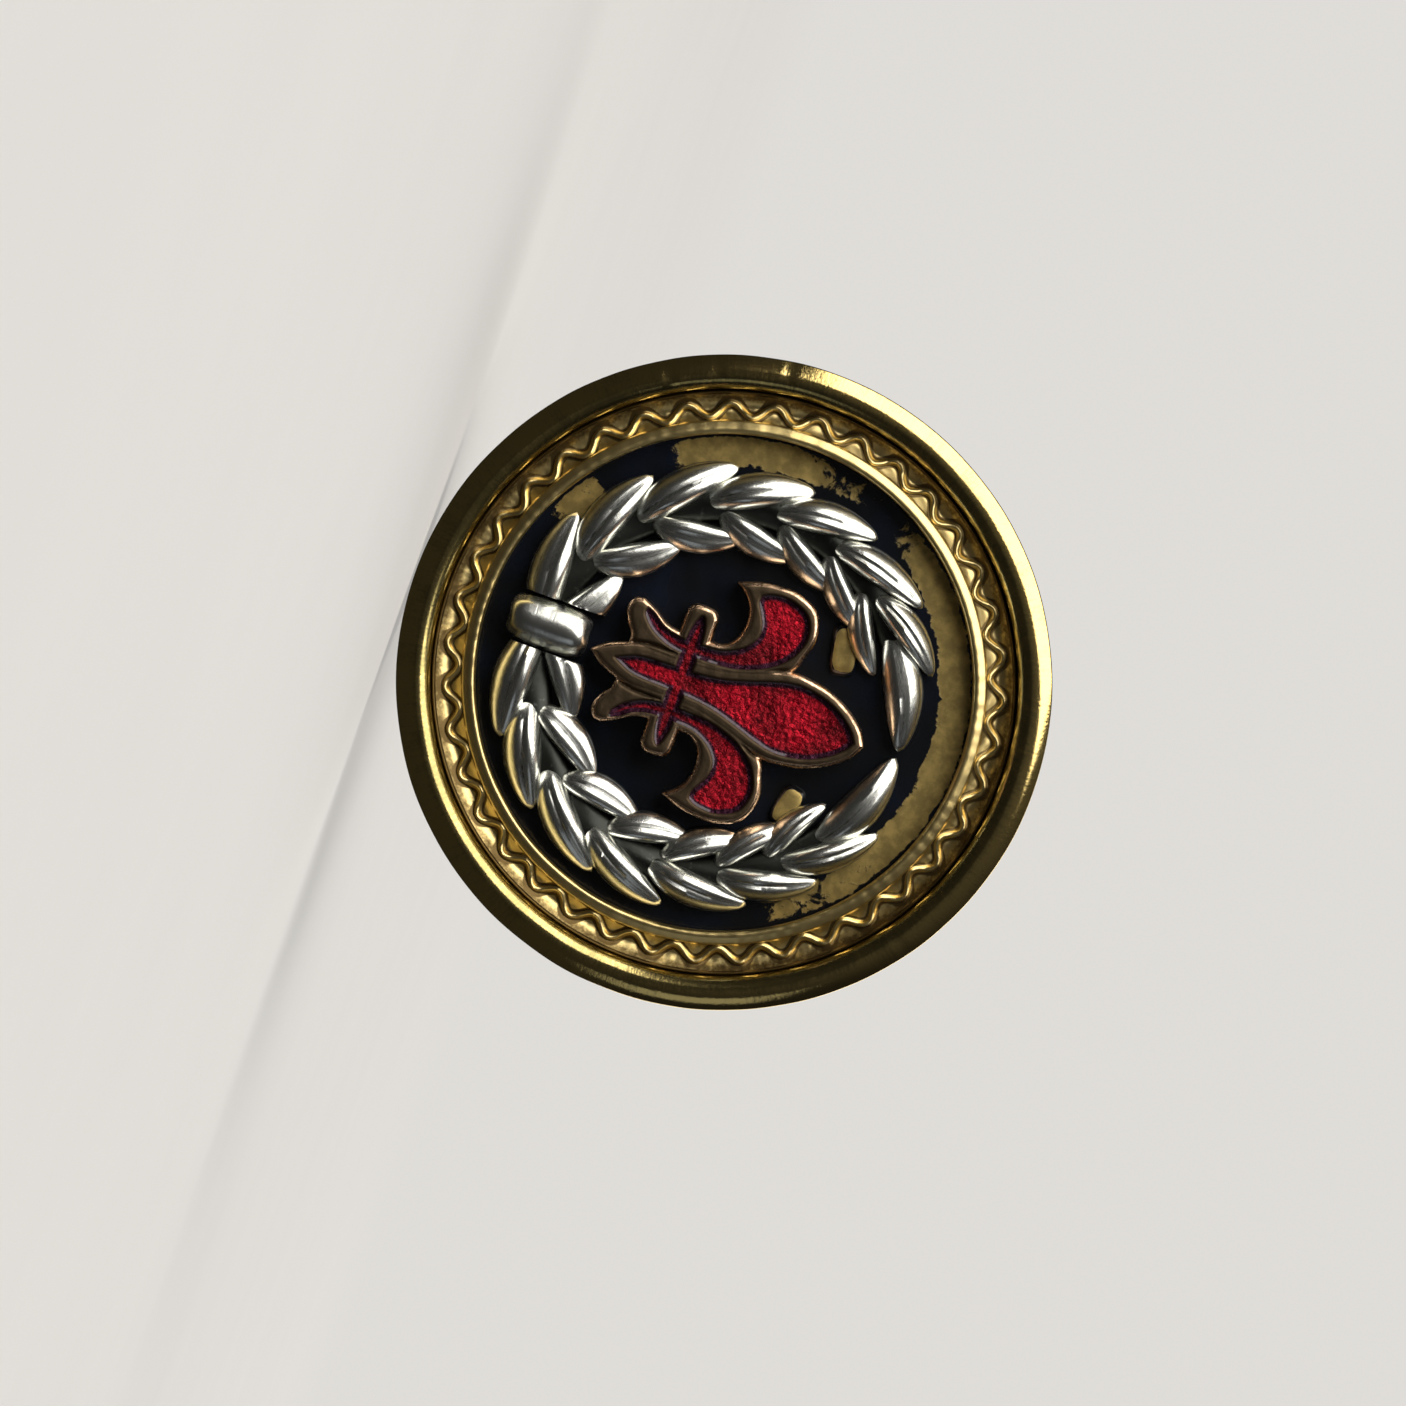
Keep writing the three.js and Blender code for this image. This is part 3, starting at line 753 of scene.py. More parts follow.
def rim_surface(settings):
    """The rim's section is a thin sheet rolled half round at the front and turned in behind, carried
    round the axis. Outside the crest the front falls by 0.34 s^2 mm, with s the share of the 0.8 mm
    from the crest to the outer wall, and inside the crest it is a quarter oval. The radius wavers by
    about a hundredth of a millimetre. A nick lowers the front by size exp(-((angle - at) / width)^2).
    """
    radius, roll, sheet = (v / MM for v in (settings.radius, settings.roll, settings.sheet))
    centre = (radius - roll, settings.roll_depth / MM)
    inside = roll - sheet
    shoulder, drop, waver = 0.8, 0.34, 0.012
    crest, top = radius - shoulder, centre[1] + roll
    share = np.linspace(0.93, 0.0, 18)
    slope = np.stack([crest + shoulder * share, top - drop * share**2], -1)
    wall = [[11.6, 0.06], [12.7, 0.06], [12.86, 0.2], [12.9, 1.2], [radius, 2.9], [radius, top - drop]]
    lip = [[centre[0] - roll, 3.1], [centre[0] - roll, 2.95], [centre[0] - inside, 2.95]]
    turned_in = [[radius - sheet, 1.0], [radius - sheet, 0.4], [12.62, 0.36], [11.55, 0.36], [11.55, 0.06]]
    section = np.concatenate(
        [
            rounded([*wall, slope[0]], 0.1, 5),
            slope[1:],
            oval((crest, top - roll), (crest - centre[0] + roll, roll), 90, 180, 20)[1:],
            rounded([*lip, [centre[0] - inside, 3.2]], 0.06),
            arc(centre, inside, 180, 0, 13),
            rounded(turned_in, 0.08),
        ]
    )
    nicks = np.radians([240.0, 262.0, 249.0, 205.0, 36.0])
    depths = np.array([0.05, 0.03, 0.025, 0.02, 0.03])
    widths = np.radians([0.5, 0.4, 0.35, 0.4, 0.5])

    def worn(r, d, a):
        wavering = r + waver * uneven(5, 7 * np.sin(a), 7 * np.cos(a)) - waver
        front = eased(3.3, 3.9, d)
        cut = sum(
            size * np.exp(-(((a - at + math.pi) % FULL_TURN - math.pi) / width) ** 2)
            for at, size, width in zip(nicks, depths, widths)
        )
        return np.minimum(wavering, radius), d - front * cut

    def marks(r, d, a):
        # The inner slope of the roll is darkened: patina, and painted shade of the slope that faces away from
        # the window. The parts further back are darkened as well.
        inner = 0.5 * (1 - eased(crest - 0.1, crest + 0.22, r))
        return {"hollow": np.maximum(inner, 0.7 * (1 - eased(3.3, 3.75, d))) + 0 * a}

    return turned_ring(section, 360, worn, marks=marks)


def border_surface(settings):
    """The border's section is an inner bead, a channel and an outer lip. In the channel the depth is
    3.1 + 0.3 (|radius - 10.92| / 0.54)^1.6, a floor that rises to both walls, with a ridge 0.17 mm
    high on it whose centre line is radius = mean + swing sin(waves * angle)."""
    mean, swing, waves = settings.wave_radius / MM, settings.wave_swing / MM, settings.waves
    level, channel_from, bead_to = 3.2, 10.35, 10.41
    middle, half, floor, ridge_height = 10.92, 0.54, 3.1, 0.17
    bead = [[9.86, 2.78], [9.86, 3.5], [9.93, 3.66], [10.08, 3.68], [10.37, 3.53], [10.4, 3.46]]
    channel = np.stack([np.linspace(10.42, 11.44, 34), np.full(34, level)], -1)
    lip = rounded([[11.44, 3.38], [11.5, 3.56], [11.58, 3.5], [11.59, 2.88], [12.6, 2.88], [12.6, 2.3]], 0.05)
    under = rounded([[12.6, 2.4], [12.6, 2.3], [10.12, 2.3], [10.12, 2.78], [10.0, 2.78]], 0.05)[1:]
    section = np.concatenate([rounded(bead, 0.1, 5), channel, lip[:-1], under])

    def in_channel(r, d):
        return (d == level) & (r > channel_from)

    def ridge_distance(r, a):
        slope = swing * waves / mean * np.cos(waves * a)
        return np.abs(r - mean - swing * np.sin(waves * a)) / np.sqrt(1 + slope**2)

    def channel_depth(r, a):
        wander = 0.02 * uneven(8, 12 * np.sin(a), 12 * np.cos(a))
        ridge = 1 - eased(0.03, 0.18, ridge_distance(r + wander, a))
        walls = 0.3 * (np.abs(r - middle) / half) ** 1.6
        return floor + walls + ridge_height * ridge + 0.012 * uneven(9, 40 * np.sin(a), 40 * np.cos(a), 3 * r)

    def struck(r, d, a):
        d = np.where(in_channel(r, d), channel_depth(r, a), d)
        beaded = (r < bead_to) & (d > 3.4)
        return r, d + np.where(beaded, 0.012 * uneven(4, 30 * np.sin(a), 30 * np.cos(a)), 0.0)

    def marks(r, d, a):
        away = ridge_distance(r, a)
        # Painted shade with patina: a band beside the ridge's foot and the outer part of the channel next to
        # the rim are darkened. The rear and the outer wall are darkened too.
        crease = 0.75 * eased(0.1, 0.17, away) * (1 - eased(0.2, 0.32, away))
        outer = 0.5 * eased(10.95, 11.35, r) * eased(0.1, 0.2, away)
        step = np.maximum(0.7 * (1 - eased(3.0, 3.5, d)), eased(11.3, 11.44, r))
        return {"hollow": np.where(in_channel(r, d), crease + outer, step)}

    return turned_ring(section, waves * 28, struck, marks=marks)


def field_surface(settings):
    """A shallow dome, depth = top - fall (r / radius)^2, on rings of points, with its rear face a
    sheet's thickness behind, and the worn mark drawn by angle and radius."""
    radius, top, fall = (v / MM for v in (settings.radius, settings.top, settings.fall))
    steps, sheet = 300, 0.3
    ring = np.concatenate([np.linspace(0.4, 6.4, 12), np.linspace(6.6, radius - 0.05, 34), [radius]])
    rear = ring[::-1][[0, 2, 20, 40, -1]]
    r = np.concatenate([ring, rear])[:, None]
    back = np.concatenate([np.zeros(len(ring)), np.full(len(rear), sheet)])[:, None]
    angle = np.arange(steps)[None] * FULL_TURN / steps
    depth = top - fall * (r / radius) ** 2 - back + 0 * angle
    depth = depth + np.where(back == 0, 0.008 * uneven(3, r * np.sin(angle), r * np.cos(angle)), 0)
    points = place_round(r + 0 * angle, depth, angle).reshape(-1, 3)
    ends = [[0, -top, 0], [0, -top + sheet, 0]]
    rows = len(r)
    faces = [
        quads(rows, steps, wrap_columns=True),
        fan(rows * steps, 0, steps)[:, ::-1],
        fan(rows * steps + 1, (rows - 1) * steps, steps),
    ]
    worn = np.concatenate([worn_field(points[:, 0], points[:, 2], radius), [0, 0]])
    return surface(np.concatenate([points, ends]), faces, worn=worn)


# How worn the field is outside the wreath: degrees from the top towards the right, and a level.
FIELD_WEAR = (
    *((0, 1.0), (40, 0.9), (58, 0.7), (76, 0.12), (150, 0.1), (165, 0.4), (185, 0.45), (200, 0.3)),
    *((208, 0.95), (216, 0.9), (222, 0.3), (232, 0.35), (240, 0.95), (268, 0.95), (280, 0.66)),
    *((300, 0.62), (312, 0.95), (330, 1.0), (360, 1.0)),
)


def worn_field(x, z, radius):
    """How worn the lacquer is at a place: most across the top and down the left of the annulus
    outside the wreath, in a patch at the lower left, less at the bottom, hardly at the right, and
    not at all inside the wreath. It is up to 0.64, and less in the last 0.4 mm of the radius, where
    the black kept there is painted shade of the bead."""
    r = np.hypot(x, z)
    angle = np.degrees(np.arctan2(x, z)) % 360
    outside = eased(7.9, 8.9, r)
    # Painted shade: wear is cut back next to the bead, where its shadow falls.
    edge = 1 - 0.35 * eased(radius - 0.4, radius - 0.2, r)
    return 0.64 * outside * np.interp(angle, *zip(*FIELD_WEAR)) * edge


def tablet_surface(x, z, turn, size, top):
    """A low pillow on the oblong u^4 + v^4 = s^4, with u and v in half sizes and s the share of the
    way out, turned about its middle. Its depth is foot + (top - foot) sqrt(1 - s^6)."""
    along, across, foot = 24, 40, 2.7
    share = np.linspace(0, 1, along)[1:, None]
    angle = np.arange(across)[None] * FULL_TURN / across
    power = 0.5
    u = share * np.sign(np.cos(angle)) * np.abs(np.cos(angle)) ** power * size[0] / 2
    v = share * np.sign(np.sin(angle)) * np.abs(np.sin(angle)) ** power * size[1] / 2
    depth = foot + (top - foot) * np.sqrt(np.clip(1 - share**6, 0, 1)) + 0 * u
    c, s = math.cos(turn), math.sin(turn)
    rows = np.stack([x + c * u + s * v, -depth, z - s * u + c * v], -1)
    worn = (0.95 - 0.75 * eased(0.55, 0.95, share) - 0.3 * eased(0.0, 1.0, -np.sin(angle) * share)) + 0 * u
    return tube(rows, worn=worn)


# ------------------------------------------------------------------ wreath

# Depth of the flat rear of the wreath and of the lily's frame.
SEAT = 2.95


def leaf_surface(root, tip, half_width, height, bow):
    """A leaf from root to tip, at share s of its length and angle t round its section. Its middle
    line bows sideways by bow * 4s(1-s). Its half width is W sin(pi s^0.95)^0.46 (1 - 0.2 s^3), and
    a point stands at that times |cos t|^0.9 to its own side. The upper side is a ground of
    0.14 + 0.16 s mm plus H sin(pi s^0.9)^0.8 sin t, and a groove down its middle takes away
    0.12 exp(-(cos t / 0.09)^2) of the latter. The under side is flat."""
    root, tip = np.asarray(root, float), np.asarray(tip, float)
    s = np.linspace(0, 1, 38)[:, None]
    t = np.arange(36)[None] * FULL_TURN / 36
    line = tip - root
    side = np.array([line[1], -line[0]]) / np.linalg.norm(line)
    swell = np.sin(math.pi * s**0.95) ** 0.46 * (1 - 0.2 * s**3)
    rise = height * np.sin(math.pi * s**0.9) ** 0.8
    across = half_width * swell * np.sign(np.cos(t)) * np.abs(np.cos(t)) ** 0.9
    upper = np.clip(np.sin(t), 0, 1)
    vein = np.exp(-((np.cos(t) / 0.09) ** 2)) * eased(0.04, 0.2, s) * (1 - eased(0.86, 0.98, s))
    crest = rise * upper * (1 - 0.12 * vein)
    ground = SEAT + (0.14 + 0.16 * s) * eased(-0.2, 0.6, np.sin(t))
    depth = np.where(np.sin(t) > 0, ground + crest, SEAT)
    depth = np.where(swell < 1e-6, SEAT + 0.12 + 0.1 * s, depth)
    bend = bow * 4 * s * (1 - s)
    x = root[0] + line[0] * s + side[0] * (across + bend)
    z = root[1] + line[1] * s + side[1] * (across + bend)
    rows = np.stack(np.broadcast_arrays(x, -depth, z), -1)
    # Painted shade with tarnish: the leaf's foot, its groove and its root, where it meets the ground and the
    # leaf before it, are darkened.
    foot = 1 - eased(0.05, 0.75, upper)
    hollow = 0.85 * foot + 0.55 * vein + 0.5 * (1 - eased(0.0, 0.22, s)) + 0 * across
    return tube(rows, hollow=hollow)


def spray_surface(settings, side):
    """One spray of the wreath: a stem along an arc, a leaf at its end, and pairs of leaves whose tips
    turn outwards and inwards from it, stepping round from the tie towards the top. Points past the
    gap at the top or under the tie move back to it. The whole is domed across the stem: its height
    is multiplied by about 1.07 on the stem's line, falling to 0.53 at 2 mm to either side."""
    cx, cz = settings.centre_x / MM, -0.3
    stem = settings.stem_radius / MM

    def at(degrees, radius):
        angle = math.radians(side * degrees)
        return np.array([cx + radius * math.sin(angle), cz + radius * math.cos(angle)])

    rng = np.random.default_rng(21 + side)
    shapes = [leaf_surface(at(38, stem - 0.1), at(1, 7.75), 0.84, 0.8, side * 0.35)]
    for k in range(settings.pairs):
        spread = 1 - 0.04 * k
        outer = 148 - 22.5 * k + 0.25 * k * k
        inner = 148 - 26.5 * k + k * k
        reach = 33 - 0.6 * k
        jitter = rng.normal(size=4) * (0.5, 0.05, 0.5, 0.05)
        shapes.append(
            leaf_surface(
                at(outer + reach, stem - 0.1),
                at(outer + jitter[0], 8.8 + jitter[1]),
                0.86 * spread,
                1.02,
                side * 0.3,
            )
        )
        shapes.append(
            leaf_surface(
                at(inner + reach, stem - 0.35),
                at(inner + jitter[2], 5.8 + 0.1 * k + jitter[3]),
                0.76 * spread,
                1.0,
                -side * 0.28,
            )
        )
    shapes.append(stem_surface(at, stem))
    whole = joined(shapes)
    x, z = whole["points"][:, 0], whole["points"][:, 2]
    gap = np.where(z > 0, cx + 0.05 * side, 0.21 + 1.06 * side)
    whole["points"][:, 0] = np.where(side * (x - gap) > 0, x, gap)
    away = np.abs(np.hypot(x - cx, z - cz) - stem)
    height = -whole["points"][:, 1] - SEAT
    whole["points"][:, 1] = -SEAT - height * (1.08 - 0.55 * eased(-0.2, 2.0, away))
    return whole


def stem_surface(at, radius):
    """A stem along an arc at the given radius, flat underneath. At share s of its length and angle t
    round its section it is 1.02 (1 - 0.35 s) cos t mm to the side, and 0.5 (sin t)^0.6 mm high,
    made lumpy by a quarter."""
    half_width, high = 1.02, 0.5
    s = np.linspace(0, 1, 80)
    line = np.stack([at(171 - 150 * share, radius) for share in s])
    way = np.gradient(line, axis=0)
    way = way / np.linalg.norm(way, axis=1)[:, None]
    t = np.arange(20)[None] * FULL_TURN / 20
    taper = (1 - 0.35 * s)[:, None]
    across = half_width * taper * np.cos(t)
    lumps = 1 + 0.25 * uneven(31, 22 * s[:, None], 2 * np.cos(t))
    depth = SEAT + np.clip(high * lumps * np.clip(np.sin(t), 0, 1) ** 0.6, 0, None)
    x = line[:, :1] + way[:, 1:] * across
    z = line[:, 1:] - way[:, :1] * across
    rows = np.stack(np.broadcast_arrays(x, -depth, z), -1)
    # Painted shade with tarnish: the stem, which shows in the gaps between the leaves, is dark all over.
    return tube(rows, hollow=np.full(x.shape, 0.8))


def tie_surface():
    """A wrapped band. At v along it, from -1 to 1, its half width is W (0.6 + 0.4 (1 - |v|^3)^0.6),
    and across it, at u = cos t of that, its height is H (0.3 + 0.7 sqrt(1 - |v|^6)) sin t, less 9%
    in a groove at u = -0.8 and 5% in one at u = 0.74."""
    x0, z0, half, reach, high = 0.21, -7.3, 1.04, 1.65, 1.3
    v = np.linspace(-1, 1, 46)[:, None]
    t = np.arange(56)[None] * FULL_TURN / 56
    width = half * (0.6 + 0.4 * np.clip(1 - np.abs(v) ** 3, 0, 1) ** 0.6) * (1 + 0.02 * uneven(2, 3 * v))
    u = np.cos(t)
    upper = np.clip(np.sin(t), 0, 1)
    grooves = np.exp(-(((u + 0.8) / 0.06) ** 2)) + 0.6 * np.exp(-(((u - 0.74) / 0.07) ** 2))
    fall = np.clip(1 - np.abs(v) ** 6, 0, 1) ** 0.5
    depth = SEAT + high * (0.3 + 0.7 * fall) * upper * (1 - 0.09 * grooves)
    x = x0 + width * u
    z = z0 + reach * v + 0.05 * np.sin(math.pi * u)
    rows = np.stack(np.broadcast_arrays(x, -depth, z), -1)
    hollow = 0.8 * (1 - eased(0.05, 0.5, upper)) + 0.4 * grooves + 0.35 * eased(0.85, 1.0, np.abs(v))
    return tube(rows, hollow=hollow + 0 * depth)


# ------------------------------------------------------------------ lily

# Outlines about the lily's own axis, right half, as runs that are smooth between corners.
CENTRE_PETAL = [
    [[0, 6.1], [0.62, 5.72], [1.2, 5.0], [1.62, 4.1], [1.8, 3.2], [1.82, 2.4], [1.5, 1.0], [1.1, -0.5]]
    + [[1.0, -2.0], [0.95, -3.4], [0.7, -4.3], [0.4, -4.95], [0, -5.45]]
]
SIDE_PETAL = [
    [[0.6, -0.5], [1.1, 1.2], [1.8, 2.36], [2.5, 2.67], [3.2, 2.87], [3.9, 2.78], [4.5, 2.4], [4.82, 1.65]]
    + [[4.88, 1.0], [4.78, 0.1], [4.45, -0.88]],
    [[4.45, -0.88], [4.15, -0.48], [3.75, -0.14], [3.2, 0.02], [2.72, 0.0], [2.3, -0.15], [1.97, -0.5]]
    + [[1.87, -1.1]],
    [[1.87, -1.1], [1.85, -2.3]],
    [[1.85, -2.3], [1.95, -2.9], [2.3, -3.45], [2.6, -4.05]],
    [[2.6, -4.05], [2.5, -4.45], [2.05, -4.62], [1.55, -4.45], [1.1, -4.15], [0.7, -4.1]],
    [[0.7, -4.1], [0.5, -2.0], [0.6, -0.5]],
]
BAND = [
    [[0, -1.03], [2.75, -1.03]],
    [[2.75, -1.03], [3.08, -1.3], [3.1, -2.05], [2.8, -2.35]],
    [[2.8, -2.35], [0, -2.35]],
]
CENTRE_CELL = [
    [[0, 5.62], [0.45, 5.3], [0.92, 4.7], [1.24, 4.0], [1.4, 3.2], [1.38, 2.5], [1.2, 1.8], [0.9, 0.9]]
    + [[0.64, 0.0], [0.5, -0.9], [0.45, -2.1], [0.42, -3.0], [0.32, -3.7], [0, -4.4]]
]
SIDE_CELL = [
    [[1.06, -1.4], [1.15, 0.0], [1.45, 1.0], [1.85, 1.7], [2.4, 2.2], [3.1, 2.48], [3.8, 2.38], [4.25, 2.0]]
    + [[4.48, 1.3], [4.42, 0.6], [4.25, 0.25]],
    [[4.25, 0.25], [3.95, 0.25], [3.6, 0.45], [3.1, 0.68], [2.6, 0.66], [2.1, 0.3], [1.75, -0.3]]
    + [[1.62, -0.9], [1.6, -2.2], [1.78, -2.95], [2.15, -3.5], [2.3, -3.85]],
    [[2.3, -3.85], [1.98, -3.82], [1.52, -3.35], [1.2, -2.7], [1.08, -2.1], [1.06, -1.4]],
]
BAND_CELL = [[[0, -1.36], [1.9, -1.4], [2.7, -1.68], [1.9, -1.98], [0, -2.02]]]


def smooth_run(points, steps=7):
    """A smooth line through points: between b and c the cubic
    0.5 (2b + (c-a) t + (2a-5b+4c-d) t^2 + (3b-a-3c+d) t^3), with the end points repeated."""
    points = np.asarray(points, float)
    if len(points) == 2:
        return points
    before, after = points[[0, *range(len(points) - 2)]], points[[*range(2, len(points)), -1]]
    t = np.linspace(0, 1, steps + 1)[:-1][None, :, None]
    a, b, c, d = (p[:, None] for p in (before, points[:-1], points[1:], after))
    curve = 0.5 * (2 * b + (c - a) * t + (2 * a - 5 * b + 4 * c - d) * t**2 + (3 * b - a - 3 * c + d) * t**3)
    return np.concatenate([curve.reshape(-1, 2), points[-1:]])


def outline(runs, mirrored):
    """A closed line from smooth runs. A mirrored outline gives only its right half, top to bottom."""
    line = np.concatenate([smooth_run(run) for run in runs])
    if mirrored:
        line = np.concatenate([line, (line * (-1, 1))[::-1]])
    keep = np.linalg.norm(line - np.roll(line, 1, axis=0), axis=1) > 1e-6
    return line[keep]


def signed_distance(x, z, line):
    """For each point, its distance from a closed line, negative inside it, and the nearest point on
    the line. A point is inside if a ray to its right crosses the line an odd number of times."""
    best = np.full(x.shape, 1e9)
    near_x, near_z = np.zeros(x.shape), np.zeros(x.shape)
    inside = np.zeros(x.shape, bool)
    for (ax, az), (bx, bz) in zip(line, np.roll(line, -1, axis=0)):
        dx, dz = bx - ax, bz - az
        t = np.clip(((x - ax) * dx + (z - az) * dz) / (dx * dx + dz * dz), 0, 1)
        px, pz = ax + t * dx, az + t * dz
        distance = np.hypot(x - px, z - pz)
        closer = distance < best
        best = np.where(closer, distance, best)
        near_x, near_z = np.where(closer, px, near_x), np.where(closer, pz, near_z)
        if dz:
            inside ^= ((az > z) != (bz > z)) & (x < ax + (z - az) * dx / dz)
    return np.where(inside, -best, best), near_x, near_z


def nearest_of(x, z, lines):
    """The signed distance from the union of several closed outlines, and the nearest point. The
    outlines are symmetrical, so the left half is read from the right."""
    sign = np.where(x < 0, -1.0, 1.0)
    found = [signed_distance(np.abs(x), z, line) for line in lines]
    distances = np.stack([f[0] for f in found])
    pick = distances.argmin(0)[None]
    d, nx, nz = (np.take_along_axis(np.stack([f[k] for f in found]), pick, 0)[0] for k in range(3))
    return d, nx * sign, nz


def grid_slab(x, z, inside, edge, front, rear, marks):
    """A slab over the cells of a grid whose middles are inside an outline. Points on its boundary
    move to edge, the nearest place on the outline; front gives the front depth of each point, and
    the rear is flat. Walls join the two along the boundary."""
    keep = inside[:-1, :-1] + inside[1:, :-1] + inside[:-1, 1:] + inside[1:, 1:] < 0
    around = np.zeros(x.shape, int)
    for i in (0, 1):
        for j in (0, 1):
            around[i : i + keep.shape[0], j : j + keep.shape[1]] += keep
    rim = (around > 0) & (around < 4)
    x, z = np.where(rim, edge[0], x), np.where(rim, edge[1], z)
    used = around > 0
    number = np.full(x.shape, -1)
    number[used] = np.arange(used.sum())
    total = used.sum()
    depth = front(x, z)
    top = np.stack([x[used], -depth[used], z[used]], -1)
    bottom = np.stack([x[used], np.full(total, -rear), z[used]], -1)
    i, j = np.nonzero(keep)
    cell = np.stack([number[i, j], number[i + 1, j], number[i + 1, j + 1], number[i, j + 1]], -1)
    padded = np.pad(keep, 1)
    walls = []
    for (di, dj), (a, b) in (((0, -1), (0, 1)), ((1, 0), (1, 2)), ((0, 1), (2, 3)), ((-1, 0), (3, 0))):
        open_side = ~padded[i + 1 + di, j + 1 + dj]
        start, end = cell[open_side, a], cell[open_side, b]
        walls.append(np.stack([end, start, start + total, end + total], -1))
    faces = [np.concatenate([cell, cell[:, ::-1] + total, *walls])]
    values = {k: np.tile(v[used], 2) for k, v in marks(x, z).items()}
    return surface(np.concatenate([top, bottom]), faces, **values)


def lily_grid(step):
    """A grid that covers the lily, symmetrical about its axis."""
    across = np.arange(-round(5.1 / step), round(5.1 / step) + 1) * step
    up = np.arange(-5.7, 6.3, step)
    return np.meshgrid(across, up, indexing="ij")


def lily_lines():
    """The lily's wall outlines and its cell outlines."""
    walls = [outline(CENTRE_PETAL, True), outline(SIDE_PETAL, False), outline(BAND, True)]
    cells = [outline(CENTRE_CELL, True), outline(SIDE_CELL, False), outline(BAND_CELL, True)]
    return walls, cells


def lily_frame_surface(settings):
    """The frame's front stands at the top depth, rolls off by 0.27 mm as a quarter ellipse over the
    last 0.34 mm to its outline and by 0.08 mm at the cells, dips in a narrow groove where the centre
    petal's outline crosses the walls, and drops to the pocket floor inside the cells. Points near a
    cell's outline are moved onto it."""
    step, top, pocket_floor = settings.mesh_step / MM, settings.top / MM, 3.45
    walls, cells = lily_lines()
    x, z = lily_grid(step)
    inside, edge_x, edge_z = nearest_of(x, z, walls)
    cell, cell_x, cell_z = nearest_of(x, z, cells)
    snap = (np.abs(cell) < 0.55 * step) & (inside < -0.1)
    x, z = np.where(snap, cell_x, x), np.where(snap, cell_z, z)
    cell = np.where(snap, 0.0, cell)
    petal = signed_distance(np.abs(x), z, walls[0])[0]
    side = signed_distance(np.abs(x), z, walls[1])[0]

    def front(px, pz):
        d = np.clip(-nearest_of(px, pz, walls)[0] / 0.34, 0, 1)
        crown = top - 0.27 * (1 - np.sqrt(np.clip(1 - (1 - d) ** 2, 0, 1)))
        lip = 0.08 * (1 - np.clip(cell / 0.09, 0, 1)) ** 2
        groove = 0.15 * np.exp(-((petal / 0.075) ** 2)) * eased(0.02, 0.2, -side) * eased(0.05, 0.2, cell)
        worn = 0.012 * uneven(6, 3 * px, 3 * pz)
        wall = crown - lip - groove + worn
        return np.where(cell < -0.2 * step, pocket_floor, wall)

    def marks(px, pz):
        d = -nearest_of(px, pz, walls)[0]
        edge = 1 - eased(0.1, 0.24, d)
        groove = np.exp(-((petal / 0.09) ** 2)) * eased(0.02, 0.2, -side)
        return {"hollow": 0.5 - 0.7 * edge + 0.4 * groove + 0.5 * (cell < 0)}

    shape = grid_slab(x, z, inside, (edge_x, edge_z), front, SEAT, marks)
    shape["points"][:, 0] += settings.centre_x / MM
    return shape


def lily_enamel_surface(settings):
    """The enamel's front is nearly level, with slow waves, and creeps up the walls as
    0.07 exp(-distance / 0.11)."""
    step, level, rear = settings.mesh_step / MM, settings.enamel_top / MM, 3.48
    _, cells = lily_lines()
    x, z = lily_grid(step)
    inside, edge_x, edge_z = nearest_of(x, z, cells)

    def depth_inside(px, pz):
        return np.clip(-nearest_of(px, pz, cells)[0], 0, None)

    def front(px, pz):
        creep = 0.07 * np.exp(-depth_inside(px, pz) / 0.11)
        return level + creep + 0.012 * uneven(14, 2 * px, 2 * pz)

    def marks(px, pz):
        return {"inside": eased(0.0, 0.34, depth_inside(px, pz))}

    shape = grid_slab(x, z, inside, (edge_x, edge_z), front, rear, marks)
    shape["points"][:, 0] += settings.centre_x / MM
    return shape


# ------------------------------------------------------------------ back


def back_plate_surface():
    """The plate's section, a sheet 0.45 mm thick with a dished centre, a raised land and a stepped
    edge, with its corners rounded as a press leaves them."""
    rear = [[1.6, 0.15], [8.2, 0.15], [8.4, 0.0], [11.2, 0.0], [11.4, 0.4], [12.55, 0.4]]
    front = [[12.55, 0.85], [11.1, 0.85], [10.9, 0.45], [8.7, 0.45], [8.5, 0.6], [1.6, 0.6]]
    return turned_ring(rounded_ring(rear + front, 0.13, 5), 200)


def post_surface(settings):
    """A flat-headed post with a right-handed thread: at depth d and angle a the radius is the crest
    less the thread's depth times a rounded wave of (d / pitch + a / turn), fading at both ends."""
    pitch, deep = settings.pitch / MM, settings.thread_depth / MM
    crest, end, bevel = 1.45, -8.5, 0.3
    head, head_front, head_rear = 3.5, 1.15, 0.63
    cap = [[0, head_front], [head, head_front], [head, head_rear], [crest, head_rear], [crest, 0.55]]
    shank = np.stack([np.full(190, crest), np.linspace(0.5, end + bevel, 190)], -1)
    section = np.concatenate(
        [
            rounded(cap, 0.1),
            shank,
            [[crest - bevel, end], [0, end]],
        ]
    )

    def threaded(r, d, a):
        phase = (d / pitch + a / FULL_TURN) % 1
        wave = eased(0.12, 0.5, np.minimum(phase, 1 - phase))
        fade = eased(end + 0.1, end + 0.6, d) * (1 - eased(0.0, 0.4, d))
        on_shank = np.abs(r - crest) < 1e-6
        return np.where(on_shank, r - deep * wave * fade, r), d

    return turned_solid(section, 40, threaded)


def locating_pin_surface(x):
    """A round pin with a flat head in front of the plate and a pointed end."""
    section = rounded(
        [[0, 0.8], [0.85, 0.8], [0.85, 0.48], [0.5, 0.48], [0.5, -2.3], [0.06, -3.17], [0, -3.2]], 0.07
    )
    return turned_solid(subdivided(section, 0.4), 28, centre=(x, 0.0))


def washer_surface():
    """A flat ring with rounded edges, its front face dished by 0.05 mm towards the post."""
    section = rounded_ring([[1.9, -0.55], [7.4, -0.5], [7.4, -0.9], [1.9, -0.9]], 0.12, 5)
    return turned_ring(subdivided(section, 0.8), 180)


